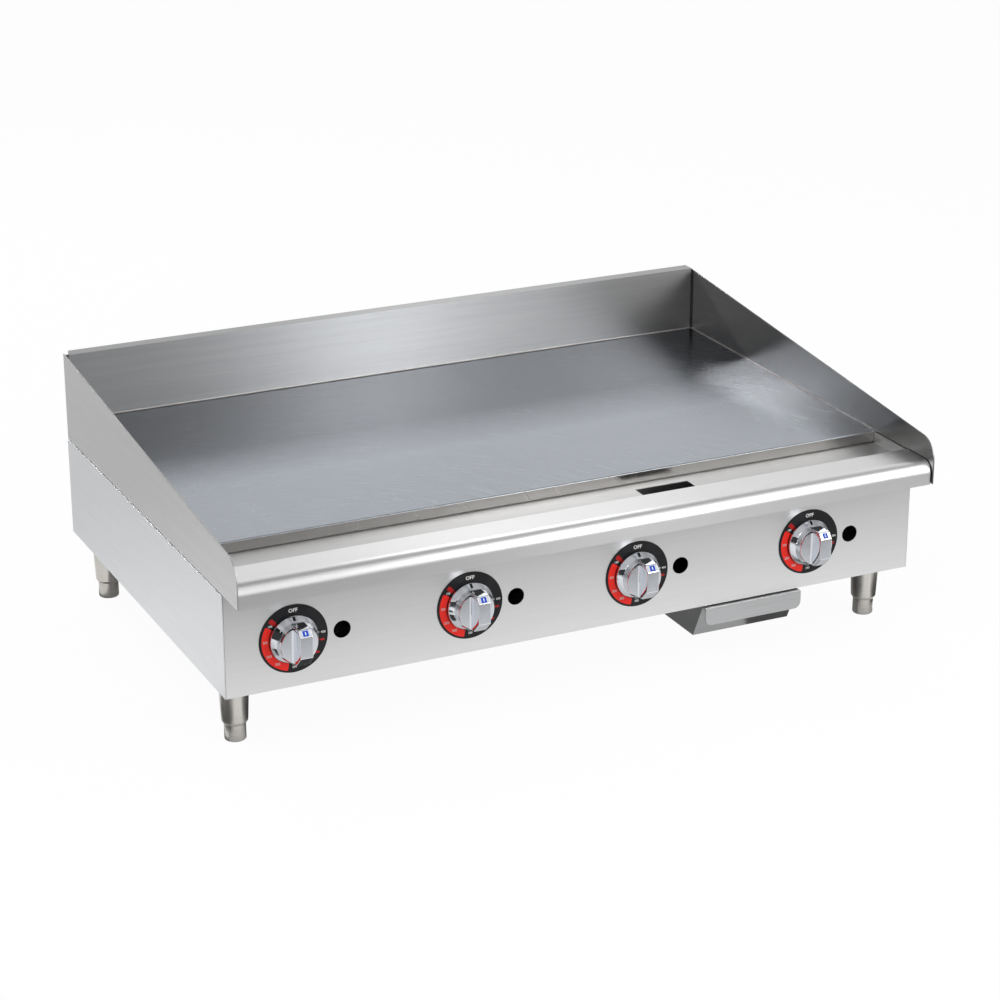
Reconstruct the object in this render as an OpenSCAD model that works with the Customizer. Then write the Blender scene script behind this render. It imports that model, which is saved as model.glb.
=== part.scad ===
// Counter-top gas griddle with a ground steel plate, three splash guards,
// a grease trough with a pull-out drawer, and four thermostat zones.
// X runs to the right, +Y to the rear, +Z up. The origin is on the counter,
// under the middle of the outline.

/* [Body] */
// Width over the side panels
body_w = 1219; // [1190:1:1300]
// Depth from the face of the control panel to the rear
body_d = 762; // [740:1:860]
// Height of the side and control panels
body_h = 170; // [165:1:200]
// Sheet thickness of the body, rail, trough and back splash
sheet_t = 1.5; // [1:0.1:1.8]
// Width of the folded flanges that stiffen the panels
flange_w = 20; // [14:1:24]

/* [Plate] */
// Thickness of the griddle plate
plate_t = 19; // [16:1:25]
// Height of the cooking surface above the side panels
plate_rise = 39; // [36:1:46]
// Chamfer on the front edge of the plate
plate_chamfer = 1.5; // [0.5:0.5:3]
// Width of the sensor grooves under the plate
groove_w = 9; // [8.8:0.1:10]
// Length of the temperature sensor bulbs
bulb_l = 120; // [80:5:160]

/* [Splash guards] */
// Sheet thickness of the side splashes
splash_t = 2; // [1.5:0.1:3]
// Step from the side panel in to the side splash
splash_inset = 1; // [0.5:0.1:2]
// Open seam between a side panel and its splash
seam_gap = 1.5; // [1:0.1:3]
// Height of the side splashes above the plate at the rear
splash_rear_h = 115; // [80:1:150]
// Height of the side splashes above the plate, over the control panel face
splash_front_h = 42; // [30:1:60]
// Radius of the front top corner of the side splashes
splash_corner_r = 38; // [20:1:45]
// How far the side splashes reach past the front rail
splash_lead = 4; // [1:0.5:8]
// Height of the back splash above the plate, at its front edge
back_splash_h = 116.5; // [80:0.5:150]
// Depth of the folded top of the back splash
back_fold_d = 15; // [12:1:20]
// Rise of that folded top towards the rear
back_fold_rise = 3; // [1:0.5:5]
// Gap at each end of the back splash
back_end_gap = 3; // [1:0.5:6]

/* [Front rail and trough] */
// Reach of the front rail past the control panel
rail_reach = 62; // [56:1:75]
// Outer radius of the rail's nose
nose_r = 20; // [12:1:30]
// How far the rail's flat top runs back over the body
ledge_back = 8; // [4:1:14]
// Width of the open grease trough
trough_w = 100; // [90:1:115]
// Drop from the cooking surface to the trough floor
trough_drop = 20.5; // [20:0.5:26]
// Gap at each end of the rail and the trough
rail_end_gap = 1.5; // [0.5:0.5:3]
// Length of the grease slot
slot_l = 96; // [60:1:110]
// Width of the grease slot
slot_w = 45; // [30:1:46]
// Middle of the grease slot, to the left of the drawer's middle
slot_lead = 127; // [122:1:132]
// Gap between the grease slot and the plate
slot_to_plate = 23; // [22:1:30]

/* [Drawer] */
// Middle of the grease drawer, to the right of the third knob
drawer_lead = 215; // [208:1:222]
// Width of the drawer pan
drawer_w = 180; // [170:1:190]
// Length of the drawer pan
drawer_l = 428; // [320:1:460]
// Height of the drawer pan
drawer_h = 62; // [40:1:75]
// How far the foot of the pan's sloping front is set back
drawer_slope = 30; // [10:1:40]
// Sheet thickness of the drawer
drawer_t = 1.5; // [1:0.1:2]
// Height of the turned-down handle
handle_h = 30; // [22:1:34]
// Gap between the handle and the control panel
handle_gap = 7; // [5:1:12]
// Corner radius of the handle
handle_r = 12; // [5:1:14]
// Width of the drawer's side flanges
runner_w = 11; // [8:1:14]
// Running clearance between the drawer and its rails
runner_play = 0.3; // [0.2:0.1:0.6]

/* [Legs] */
// Height of the legs, from the counter to the body
leg_h = 102; // [90:1:150]
// Diameter of a leg at the top
leg_top_d = 48; // [40:1:56]
// Diameter of a leg above its shoulder
leg_low_d = 42; // [37:1:48]
// Diameter of the adjustable foot
foot_d = 34.5; // [28:0.5:36]
// Height of the foot that shows when it is screwed in
foot_h = 28; // [20:1:34]
// Rounding of the foot's lower edge
foot_round = 3; // [1:0.5:5]
// Diameter of the foot's threaded stud
foot_stud_d = 16; // [10:1:18]
// Length of the foot's threaded stud
foot_stud_l = 42; // [34:1:44]
// Leg axis, in from the body's side
leg_inset_x = 38; // [34:1:60]
// Leg axis, in from the control panel and from the rear
leg_inset_y = 68; // [50:1:90]

/* [Controls] */
// Middle of the knob row, left of the body's middle
knob_row_lead = 42; // [34:1:50]
// Spacing of the first three knobs
knob_pitch = 295; // [285:1:300]
// Spacing of the last two knobs, either side of the grease drawer
knob_last_pitch = 320; // [310:1:330]
// Height of the knobs above the body's lower edge
knob_rise = 80; // [70:1:95]
// Diameter of the knob's skirt
knob_d = 80; // [76:1:90]
// Diameter of the round cap at its foot
knob_cap_d = 60; // [56:1:64]
// Height of the knob's two-step skirt
skirt_h = 22; // [18:1:24]
// Height of the knob's round cap, from its back
knob_cap_h = 42.5; // [40:0.5:44]
// Radius of the finger scoops beside the grip bar
scoop_r = 30; // [28:0.5:33]
// Height of the grip bar, from the knob's back
grip_h = 52.6; // [50.6:0.5:54.6]
// Width of the grip bar
grip_w = 20.8; // [16.8:0.5:23.8]
// How far the bar's upper end reaches past the cap
grip_lead = 3.5; // [1.5:0.5:5]
// Diameter of the thermostat stem
stem_d = 8; // [6:0.5:10]
// Running clearance of the stem, on the radius
stem_play = 0.05; // [0.02:0.01:0.1]
// Diameter of the dial plates
dial_d = 112; // [100:1:120]
// Thickness of the dial plates
dial_t = 1.6; // [1:0.1:2.5]
// Gap between the dial plate and the knob
knob_gap = 1.5; // [1:0.1:3]
// Diameter of the pilot viewing holes
peek_d = 28.5; // [20:0.5:32]
// Viewing hole, to the right of its knob
peek_dx = 80; // [76:1:86]

/* [Gas] */
// Outer diameter of the gas pipes
pipe_d = 26.7; // [21.3:0.1:28]
// Wall of the gas pipes
pipe_t = 2.9; // [2:0.1:4]
// Distance of the manifold behind the control panel face
manifold_y = 104; // [103:1:106]
// Outer diameter of the burner tubes
burner_d = 42; // [36:1:46]
// Wall of the burner tubes
burner_t = 1.6; // [1:0.1:2.5]
// Height of the burners above the body's lower edge
burner_rise = 123; // [116:1:130]
// Number of flame slots in each burner
flame_slots = 18; // [8:1:24]
// Length of the air shutter collars
shutter_l = 18; // [14:1:20]
// Inlet pipe, in from the body's right side
inlet_inset_x = 50; // [45:1:60]
// Radius of the inlet's threaded bore
inlet_r = 12.2; // [10:0.1:12.6]
// Length of the inlet's threaded bore
inlet_l = 20; // [14:1:24]

/* [Hidden] */
$fn = 64;

// Clearance between pieces that are carried but not fixed
fit = 0.3;
screw_r = 2;
screw_head_r = 4.5;
screw_head_t = 2.2;

// Levels
body_z = leg_h;
seam_z = body_z + body_h;
plate_z = seam_z + plate_rise;
plate_low_z = plate_z - plate_t;
trough_z = plate_z - trough_drop;
knob_z = body_z + knob_rise;
burner_z = body_z + burner_rise;
floor_z = body_z + sheet_t;

// Widths from the middle
side_x = body_w / 2;
side_in_x = side_x - sheet_t;
splash_in_x = side_x - splash_inset - splash_t;

// Depths from the control panel face
plate_y = ledge_back + trough_w;
splash_y = body_d - back_fold_d;
back_y = body_d - 2.7;
back_in_y = back_y - sheet_t;
splash_front_y = -rail_reach - splash_lead;
slot_y = plate_y - slot_to_plate - slot_w;
shield_y = 156;
cross_d = 28;
cross_h = 30;
inner_x = side_x - flange_w - 1;

// Zones: one burner, thermostat, knob, dial and pilot each
zones = [0 : 3];
zone_w = body_w / 4;
function burner_x(i) = (i - 1.5) * zone_w;
function knob_x(i) =
  -knob_row_lead - knob_pitch - knob_last_pitch / 2
    + min(i, 2) * knob_pitch + max(i - 2, 0) * knob_last_pitch;
drawer_x = knob_x(2) + drawer_lead;
slot_x = drawer_x - slot_lead;
function peek_x(i) = knob_x(i) + peek_dx;
bulb_inset = 10;
pilot_gap = 13;
function bulb_x(i) = knob_x(i) + thermostat_w / 2 - bulb_inset;
function pilot_x(i) = burner_x(i) + burner_d / 2 + pilot_gap;

// Thermostat body
thermostat_w = 56;
thermostat_h = 64;
thermostat_y = 16;
thermostat_d = 62;
thermostat_rear_y = thermostat_y + thermostat_d;
bushing_r = 10;
stem_depth = 44;
inlet_z = knob_z - 22;
elbow_reach = 34;
boss_r = 9;
boss_l = 3;
outlet_dz = 20;
outlet_dx = -14;
nut_l = 8;

// Burner stations along Y
mouth_y = 122;
burner_end_y = 700;
pin_l = 16;
pin_r = 4;
rest_y = burner_end_y + 7;
rest_t = 2;
gas_tube_r = 4.75;
elbow = 14;
elbow_lead = 18;
elbow_y = mouth_y - elbow_lead;
capillary_r = 1.5;
bulb_r = 4;
bulb_y = 300;
capillary_z = burner_z + burner_d / 2 + 9;
capillary_low_z = knob_z + thermostat_h / 2 - 8;
pilot_y = 178;
pilot_z = knob_z + 8;
pilot_r = 3;

// Leg details
shoulder_h = 5;
leg_stud_r = 6;
leg_stud_l = 18;
leg_plate = 56;
leg_plate_t = 3;
leg_low_z = foot_h + fit;
nut_r = 10;

// Drawer details
drawer_top_z = body_z - 2.4;
drawer_y = 2;
drawer_half = drawer_w / 2;
rail_y0 = 25;
rail_l = drawer_l + 15;
rail_web_x = drawer_half + runner_w + 2;
rail_flange = 14;

// The middle of the outline's depth, which the origin stands under
mid_y = (body_d + splash_front_y) / 2;

steel = "lightsteelblue";
bright = "gainsboro";
dark = "dimgray";
brass = "goldenrod";

// Moves a piece drawn from the control panel face into the part's own frame
module placed() translate([0, -mid_y, 0]) children();

// Extrudes an outline drawn in Y and Z from x0 to x1
module slab_x(x0, x1)
  translate([x0, 0, 0]) rotate([90, 0, 90]) linear_extrude(x1 - x0) children();

// Extrudes an outline drawn in X and Z from y0 to y1
module slab_y(y0, y1)
  translate([0, y1, 0]) rotate([90, 0, 0]) linear_extrude(y1 - y0) children();

// A box given by its lowest and highest corners
module block(a, b) translate(a) cube(b - a);

// A round bar along Y
module rod_y(r, y0, y1, x = 0, z = 0)
  translate([x, y1, z]) rotate([90, 0, 0]) cylinder(r = r, h = y1 - y0);

// A round bar along X
module rod_x(r, x0, x1, y = 0, z = 0)
  translate([x0, y, z]) rotate([0, 90, 0]) cylinder(r = r, h = x1 - x0);

// A round bar between two points, with a slightly swollen ball at the far end
module link(a, b, r) {
  d = b - a;
  l = norm(d);
  translate(a)
    rotate([0, acos(d.z / l), atan2(d.y, d.x)])
      cylinder(r = r, h = l);
  translate(b) sphere(r = r * 1.06);
}

// A bent tube along a list of points
module bent_tube(points, r)
  for (i = [0 : len(points) - 2])
    if (i < len(points) - 2)
      link(points[i], points[i + 1], r);
    else {
      d = points[i + 1] - points[i];
      translate(points[i])
        rotate([0, acos(d.z / norm(d)), atan2(d.y, d.x)])
          cylinder(r = r, h = norm(d));
    }

// ---- Plate and splash guards ----

module griddle_plate() color(steel) placed()
  difference() {
    slab_x(-splash_in_x, splash_in_x)
      polygon([
        [plate_y, plate_low_z],
        [plate_y, plate_z - plate_chamfer],
        [plate_y + plate_chamfer, plate_z],
        [splash_y, plate_z],
        [splash_y, plate_low_z]
      ]);
    for (i = zones)
      translate([bulb_x(i) - groove_w / 2, bulb_y - 14, plate_low_z - 1])
        cube([groove_w, bulb_l + 14 + fit, groove_w + 1]);
  }

// Side view of a side splash: a sloping top that turns down over the rail
module splash_outline() {
  low = seam_z + seam_gap;
  rear = plate_z + splash_rear_h;
  slope = atan((splash_rear_h - splash_front_h) / body_d);
  r = splash_corner_r;
  cy = splash_front_y + r;
  cz = plate_z + splash_front_h + cy * tan(slope) - r / cos(slope);
  polygon([
    [splash_front_y, low],
    [splash_front_y, cz],
    [cy, cz],
    [cy - r * sin(slope), cz + r * cos(slope)],
    [body_d, rear],
    [body_d, low]
  ]);
  translate([cy, cz]) circle(r);
}

module splash() {
  slab_x(splash_in_x, splash_in_x + splash_t) splash_outline();
  block(
    [splash_in_x - flange_w + splash_t, body_d - splash_t, seam_z + seam_gap],
    [splash_in_x + splash_t, body_d, plate_z + splash_rear_h - splash_t]
  );
}

module right_splash() color(bright) placed() splash();

module left_splash() color(bright) placed() mirror([1, 0, 0]) splash();

// Screw places in the rear: x of each column and z of each row
screw_columns = [0 : 4];
function screw_x(i) = (i - 2) * (body_w - 90) / 4;
screw_rows = [body_z + 12, plate_low_z - cross_h - 9];

module screw_holes(rows, y0, y1)
  for (i = screw_columns, z = rows)
    rod_y(screw_r + 0.1, y0, y1, screw_x(i), z);

module back_splash() color(bright) placed() {
  half = splash_in_x - back_end_gap;
  top = plate_z + back_splash_h;
  low = plate_low_z - cross_h;
  difference() {
    slab_x(-half, half)
      polygon([
        [splash_y, low],
        [splash_y, top],
        [body_d, top + back_fold_rise],
        [body_d, top + back_fold_rise - sheet_t],
        [splash_y + sheet_t, top - sheet_t],
        [splash_y + sheet_t, low + sheet_t],
        [back_in_y, low + sheet_t],
        [back_in_y, low - 16],
        [back_in_y - sheet_t, low - 16],
        [back_in_y - sheet_t, low]
      ]);
    for (s = [0, 1])
      mirror([s, 0, 0])
        translate([0, 0, plate_z])
          linear_extrude(2 * back_splash_h)
            polygon([
              [half, splash_y + 1],
              [half + 1, splash_y + 1],
              [half + 1, body_d + 1],
              [half - 4, body_d + 1]
            ]);
    screw_holes([screw_rows[1]], splash_y, body_d);
  }
  hem_half = half - flange_w - 2;
  block(
    [-hem_half, body_d - sheet_t, top - 10],
    [hem_half, body_d, top + back_fold_rise - sheet_t / 2]
  );
}

// ---- Front rail, trough and chute ----

// Side view of the rail: flat ledge, round nose, upright face and a return
module rail_outline() {
  z = plate_z - nose_r;
  y = -rail_reach + nose_r;
  difference() {
    union() {
      translate([y, z]) circle(nose_r);
      translate([y, z]) square([ledge_back + sheet_t - y, nose_r]);
      translate([-rail_reach, seam_z]) square([rail_reach + flange_w, z - seam_z]);
    }
    translate([y, z]) circle(nose_r - sheet_t);
    translate([y, z - 1]) square([ledge_back + 5 - y, nose_r - sheet_t + 1]);
    translate([-rail_reach + sheet_t, seam_z + sheet_t])
      square([rail_reach + flange_w, z - seam_z]);
  }
}

module front_rail() color(bright) placed() {
  half = splash_in_x - rail_end_gap;
  slab_x(-half, half) rail_outline();
}

// Side view of the trough: floor, front wall and a flange under the ledge
module trough_outline() {
  top = plate_z - sheet_t;
  rear = plate_y + 12;
  translate([ledge_back, trough_z - sheet_t]) square([rear - ledge_back, sheet_t]);
  translate([ledge_back, trough_z - sheet_t]) square([sheet_t, top - trough_z + sheet_t]);
  translate([ledge_back - flange_w, top - sheet_t]) square([flange_w + sheet_t, sheet_t]);
}

module grease_trough() color(bright) placed() {
  half = splash_in_x - rail_end_gap;
  difference() {
    union() {
      slab_x(-half, half) trough_outline();
      for (s = [-1, 1])
        block(
          [min(s * half, s * (half - sheet_t)), ledge_back, trough_z - sheet_t],
          [max(s * half, s * (half - sheet_t)), plate_y - fit, plate_z - sheet_t]
        );
    }
    translate([slot_x - slot_l / 2, slot_y, trough_z - 2 * sheet_t])
      cube([slot_l, slot_w, 3 * sheet_t]);
  }
}

// Front view of the chute: it leans from the slot across to the drawer
module chute_outline(wall) {
  top = trough_z - sheet_t;
  left = slot_x - slot_l / 2 - sheet_t + wall;
  right = slot_x + slot_l / 2 + sheet_t - wall;
  bend = knob_z + 8;
  low_left = drawer_x - 76 + wall;
  low_right = drawer_x - 8 - wall;
  polygon([
    [left, top],
    [right, top],
    [low_right, bend + 12],
    [low_right, body_z + 1],
    [low_left, body_z + 1],
    [low_left, bend]
  ]);
}

module grease_chute() color(bright) placed()
  difference() {
    slab_y(slot_y - sheet_t, slot_y + slot_w + sheet_t) chute_outline(0);
    slab_y(slot_y, slot_y + slot_w) chute_outline(sheet_t);
    block(
      [slot_x - slot_l / 2, slot_y, trough_z - 2 * sheet_t],
      [slot_x + slot_l / 2, slot_y + slot_w, trough_z]
    );
    block(
      [drawer_x - 76 + sheet_t, slot_y, body_z],
      [drawer_x - 8 - sheet_t, slot_y + slot_w, body_z + 3]
    );
  }

// ---- Body panels ----

module control_panel() color(bright) placed() {
  half = side_in_x - fit;
  top_half = side_x - flange_w - sheet_t;
  difference() {
    block([-half, 0, body_z], [half, sheet_t, seam_z]);
    for (i = zones) {
      rod_y(bushing_r + 2, -1, sheet_t + 1, knob_x(i), knob_z);
      rod_y(peek_d / 2, -1, sheet_t + 1, peek_x(i), knob_z);
    }
  }
  block([-top_half, 0, seam_z - sheet_t], [top_half, sheet_t + flange_w, seam_z]);
}

module side_panel() {
  block([side_in_x, 0, body_z], [side_x, body_d, seam_z]);
  block([side_x - flange_w, sheet_t + fit, seam_z - sheet_t], [side_x, splash_y - fit, seam_z]);
}

module right_side_panel() color(bright) placed() side_panel();

module left_side_panel() color(bright) placed() mirror([1, 0, 0]) side_panel();

vent_w = 70;
vent_h = 8;
vent_rows = 2;
vent_columns = 10;

module back_panel() color(bright) placed() {
  half = side_in_x - fit;
  difference() {
    block([-half, back_in_y, body_z], [half, back_y, seam_z]);
    screw_holes(screw_rows, splash_y, body_d);
    for (i = [0 : vent_columns - 1], j = [0 : vent_rows - 1])
      translate([
        (i - (vent_columns - 1) / 2) * vent_w * 1.4 - vent_w / 2,
        splash_y,
        seam_z - 48 - j * 2 * vent_h
      ])
        cube([vent_w, back_fold_d, vent_h]);
    rod_y(pipe_d / 2 + 5, splash_y, body_d + 1, side_x - inlet_inset_x, inlet_z);
  }
}

function leg_x(s) = s * (side_x - leg_inset_x);
function leg_y(t) = t < 0 ? leg_inset_y : body_d - leg_inset_y;

module bottom_panel() color(bright) placed() {
  x = side_in_x - fit;
  y0 = sheet_t;
  y1 = back_in_y;
  difference() {
    block([-x, y0, body_z], [x, y1, floor_z + flange_w]);
    screw_holes([screw_rows[0]], splash_y, body_d);
    block([-x + sheet_t, y0 + sheet_t, floor_z], [x - sheet_t, y1 - sheet_t, floor_z + flange_w + 1]);
    for (s = [-1, 1], t = [-1, 1])
      translate([leg_x(s), leg_y(t), body_z - 1]) cylinder(r = leg_stud_r + fit, h = sheet_t + 2);
    block(
      [drawer_x - 76 - 2, slot_y - 4, body_z - 1],
      [drawer_x - 8 + 2, slot_y + slot_w + 4, floor_z + 1]
    );
    for (i = zones, j = [0 : 4], s = [-1, 1])
      translate([burner_x(i) + s * 60 - 30, 220 + j * 90, body_z - 1])
        cube([60, 14, sheet_t + 2]);
  }
}

module heat_shield() color("silver") placed() {
  x = inner_x;
  difference() {
    union() {
      block([-x, shield_y, floor_z], [x, shield_y + sheet_t, plate_low_z - 8]);
      block([-x, shield_y, floor_z], [x, shield_y + flange_w, floor_z + sheet_t]);
    }
    for (i = zones) {
      rod_y(burner_d / 2 + fit, shield_y - 1, shield_y + 2 * sheet_t, burner_x(i), burner_z);
      rod_y(peek_d / 2 + 5, shield_y - 1, shield_y + 2 * sheet_t, pilot_x(i) - 6, knob_z);
      rod_y(capillary_r + 2, shield_y - 1, shield_y + 2 * sheet_t, bulb_x(i), capillary_z);
    }
    rod_y(
      pipe_d / 2 + 1, shield_y - 1, shield_y + 2 * sheet_t,
      side_x - inlet_inset_x, inlet_z
    );
  }
}

// One channel under the front edge of the plate and one under its rear edge
module plate_crossmembers() color(dark) placed() {
  for (y = [plate_y + 14, splash_y - cross_d])
    difference() {
      block([-inner_x, y, plate_low_z - cross_h], [inner_x, y + cross_d, plate_low_z]);
      block(
        [-inner_x - 1, y + 3, plate_low_z - cross_h - 1],
        [inner_x + 1, y + cross_d - 3, plate_low_z - 3]
      );
    }
}

// Angles on the side panels that carry the plate's ends
support_w = 30;
support_t = 3;
support_lap = 10;

module side_support() {
  y0 = shield_y + sheet_t + fit;
  y1 = splash_y - cross_d - fit;
  far = side_in_x - support_w;
  low = seam_z - flange_w - support_t - 1;
  block([far, y0, plate_low_z - support_t], [side_in_x - support_t - 1, y1, plate_low_z]);
  block(
    [side_in_x - support_t, y0, seam_z - flange_w - support_lap],
    [side_in_x, y1, seam_z - sheet_t - fit]
  );
  block([far, y0, low], [side_in_x, y1, low + support_t]);
  block([far, y0, low], [far + support_t, y1, plate_low_z]);
}

module side_supports() color(dark) placed() {
  side_support();
  mirror([1, 0, 0]) side_support();
}

// Bracket that carries the rear pins of the burners
module burner_rest() color(dark) placed() {
  x = burner_x(3) + 50;
  difference() {
    union() {
      block([-x, rest_y, floor_z], [x, rest_y + rest_t, burner_z + 14]);
      block([-x, rest_y, floor_z], [x, rest_y + flange_w, floor_z + rest_t]);
    }
    for (i = zones)
      rod_y(pin_r + fit, rest_y - 1, rest_y + rest_t + 1, burner_x(i), burner_z);
    for (i = [0 : 2])
      block(
        [burner_x(i) + 45, rest_y - 1, floor_z + 25],
        [burner_x(i + 1) - 45, rest_y + rest_t + 1, burner_z + 15]
      );
  }
}

// ---- Grease drawer ----

module drawer_rail() {
  top = body_z;
  ledge_z = drawer_top_z - drawer_t - runner_play;
  slab_y(rail_y0, rail_y0 + rail_l) {
    translate([drawer_half + 1.5, ledge_z - sheet_t])
      square([rail_web_x - drawer_half - 1.5 + sheet_t, sheet_t]);
    translate([rail_web_x, ledge_z - sheet_t]) square([sheet_t, top - ledge_z + sheet_t]);
    translate([rail_web_x, top - sheet_t]) square([rail_flange, sheet_t]);
  }
}

module drawer_rails() color(bright) placed() translate([drawer_x, 0, 0]) {
  drawer_rail();
  mirror([1, 0, 0]) drawer_rail();
}

// Side view of the pan; wall shrinks it to the hollow inside
module pan_outline(wall) {
  low = drawer_top_z - drawer_h;
  top = drawer_top_z + wall;
  rear = drawer_y + drawer_l;
  lean = drawer_slope / drawer_h;
  front = wall * sqrt(1 + lean * lean);
  polygon([
    [drawer_y + front - wall * lean, top],
    [drawer_y + drawer_slope + front - wall * lean, low + wall],
    [rear - wall, low + wall],
    [rear - wall, top]
  ]);
}

module grease_drawer() color(steel) placed() translate([drawer_x, 0, 0]) {
  difference() {
    union() {
      slab_x(-drawer_half, drawer_half) pan_outline(0);
      block(
        [-drawer_half - runner_w, drawer_y + 20, drawer_top_z - drawer_t],
        [drawer_half + runner_w, drawer_y + drawer_l, drawer_top_z]
      );
    }
    slab_x(-drawer_half + drawer_t, drawer_half - drawer_t) pan_outline(drawer_t);
  }
  // The front sheet folds forward and down again as the handle
  block(
    [-drawer_half, -handle_gap - drawer_t, drawer_top_z - drawer_t],
    [drawer_half, drawer_y + drawer_t, drawer_top_z]
  );
  slab_y(-handle_gap - drawer_t, -handle_gap) handle_outline();
}

module handle_outline() {
  low = drawer_top_z - handle_h;
  translate([-drawer_half, low + handle_r]) square([drawer_w, handle_h - handle_r]);
  translate([-drawer_half + handle_r, low]) square([drawer_w - 2 * handle_r, handle_r]);
  for (s = [-1, 1])
    translate([s * (drawer_half - handle_r), low + handle_r]) circle(handle_r);
}

// ---- Legs ----

module leg() color("silver") {
  stud_top = foot_h + foot_stud_l + 5;
  difference() {
    union() {
      rotate_extrude()
        polygon([
          [0, leg_low_z],
          [foot_d / 2 + 0.5, leg_low_z],
          [leg_low_d / 2, leg_low_z + shoulder_h],
          [leg_top_d / 2, body_z],
          [0, body_z]
        ]);
      cylinder(r = leg_stud_r, h = body_z + leg_stud_l);
    }
    translate([0, 0, -1]) cylinder(r = foot_stud_d / 2 + stem_play, h = stud_top + 1);
  }
}

module foot() color("silver") {
  rotate_extrude() {
    square([foot_d / 2 - foot_round, foot_h]);
    translate([0, foot_round]) square([foot_d / 2, foot_h - foot_round]);
    intersection() {
      translate([foot_d / 2 - foot_round, foot_round]) circle(foot_round);
      square([foot_d / 2, foot_h]);
    }
  }
  cylinder(r = foot_stud_d / 2, h = foot_h + foot_stud_l);
}

// Stands a leg or foot at one corner: s is left or right, t is front or rear
module at_corner(s, t) placed() translate([leg_x(s), leg_y(t), 0]) children();

module leg_plates() color(dark)
  for (s = [-1, 1], t = [-1, 1])
    at_corner(s, t)
      translate([0, 0, floor_z])
        difference() {
          translate([-leg_plate / 2, -leg_plate / 2, 0]) cube([leg_plate, leg_plate, leg_plate_t]);
          translate([0, 0, -1]) cylinder(r = leg_stud_r + fit, h = leg_plate_t + 2);
        }

module leg_nuts() color("silver")
  for (s = [-1, 1], t = [-1, 1])
    at_corner(s, t)
      translate([0, 0, floor_z + leg_plate_t])
        difference() {
          cylinder(r = nut_r, h = 9, $fn = 6);
          translate([0, 0, -1]) cylinder(r = leg_stud_r + 0.1, h = 11);
        }

// ---- Knobs and dials ----

// The revolved part of a knob: a skirt in two cones and a round cap
module knob_round() {
  r = knob_d / 2;
  c = knob_cap_d / 2;
  rotate_extrude()
    polygon([
      [0, 0],
      [r, 0],
      [r, skirt_h * 0.2],
      [r - 6, skirt_h * 0.6],
      [c, skirt_h],
      [c - 1.7, knob_cap_h],
      [0, knob_cap_h]
    ]);
}

// The grip bar: it slopes up from the cap's lower rim and hangs over its upper one
module grip_bar() {
  c = knob_cap_d / 2;
  half = grip_w / 2;
  tip = c + grip_lead;
  intersection() {
    slab_x(-half, half)
      polygon([
        [-c, skirt_h / 2],
        [-c, knob_cap_h - 8.5],
        [-c * 0.37, grip_h],
        [c * 0.78, grip_h],
        [tip, grip_h - 7.6],
        [tip, skirt_h / 2]
      ]);
    union() {
      cylinder(r = c - 0.7, h = grip_h + 1);
      intersection() {
        cylinder(r = tip + 1, h = grip_h + 2);
        translate([-half - 1, 0, 0]) cube([grip_w + 2, tip + 2, grip_h + 2]);
      }
    }
  }
}

// A knob with its back at z = 0, pointing up the page along +Y
module knob_shape() {
  scoop_z = skirt_h + sqrt(pow(scoop_r, 2) - pow(grip_w / 2, 2));
  difference() {
    union() {
      difference() {
        knob_round();
        rod_y(scoop_r, -knob_d, knob_d, 0, scoop_z);
      }
      grip_bar();
    }
    translate([0, 0, -1]) cylinder(r = stem_d / 2 + stem_play, h = stem_reach + 2);
    difference() {
      translate([0, 0, -1]) cylinder(r = knob_d / 2 - 7, h = 7);
      translate([0, 0, -2]) cylinder(r = stem_d / 2 + 4, h = 9);
    }
  }
}

// How far the stem reaches into the knob
stem_reach = 24;
knob_back_y = -dial_t - knob_gap;

module knob(i) color("silver") placed()
  translate([knob_x(i), knob_back_y, knob_z]) rotate([90, 0, 0]) knob_shape();

module stem(i) color(brass) placed()
  rod_y(stem_d / 2, knob_back_y - stem_reach, stem_depth, knob_x(i), knob_z);

module dial(i) color("black") placed()
  difference() {
    translate([knob_x(i), 0, knob_z])
      rotate([90, 0, 0])
        rotate_extrude()
          polygon([
            [0, 0],
            [dial_d / 2, 0],
            [dial_d / 2, dial_t * 0.6],
            [dial_d / 2 - dial_t * 0.4, dial_t],
            [0, dial_t]
          ]);
    rod_y(bushing_r + 2, -dial_t - 1, 1, knob_x(i), knob_z);
  }

// ---- Gas train ----

module thermostat(i) color("silver") placed()
  translate([knob_x(i), 0, knob_z])
    difference() {
      union() {
        block(
          [-thermostat_w / 2, thermostat_y, -thermostat_h / 2],
          [thermostat_w / 2, thermostat_rear_y, thermostat_h / 2]
        );
        rod_y(22, thermostat_y - 6, thermostat_y);
        rod_y(bushing_r, -dial_t / 2, thermostat_y);
        rod_y(boss_r, thermostat_rear_y, manifold_y - pipe_d / 2 - boss_l, 0, inlet_z - knob_z);
        translate([outlet_dx, thermostat_rear_y + nut_l, outlet_dz])
          rotate([90, 0, 0]) cylinder(r = 8, h = nut_l, $fn = 6);
        rod_y(
          capillary_r + 2, thermostat_rear_y, thermostat_rear_y + 6,
          bulb_x(i) - knob_x(i), capillary_low_z - knob_z
        );
      }
      rod_y(stem_d / 2 + stem_play, -dial_t, stem_depth + 1);
    }

module gas_manifold() color(dark) placed() {
  x0 = -side_x + 60;
  x1 = side_x - inlet_inset_x - elbow_reach;
  difference() {
    union() {
      rod_x(pipe_d / 2, x0, x1, manifold_y, inlet_z);
      for (i = zones)
        rod_y(
          boss_r, manifold_y - pipe_d / 2 - boss_l, manifold_y,
          knob_x(i), inlet_z
        );
    }
    rod_x(pipe_d / 2 - pipe_t, x0 + 5, x1 + 1, manifold_y, inlet_z);
  }
}

// Two upright brackets, each with a foot on the bottom panel
bracket_lead = 167;
bracket_back = 73;
bracket_half = 20;
bracket_rise = 6;
bracket_t = 2;

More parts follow.
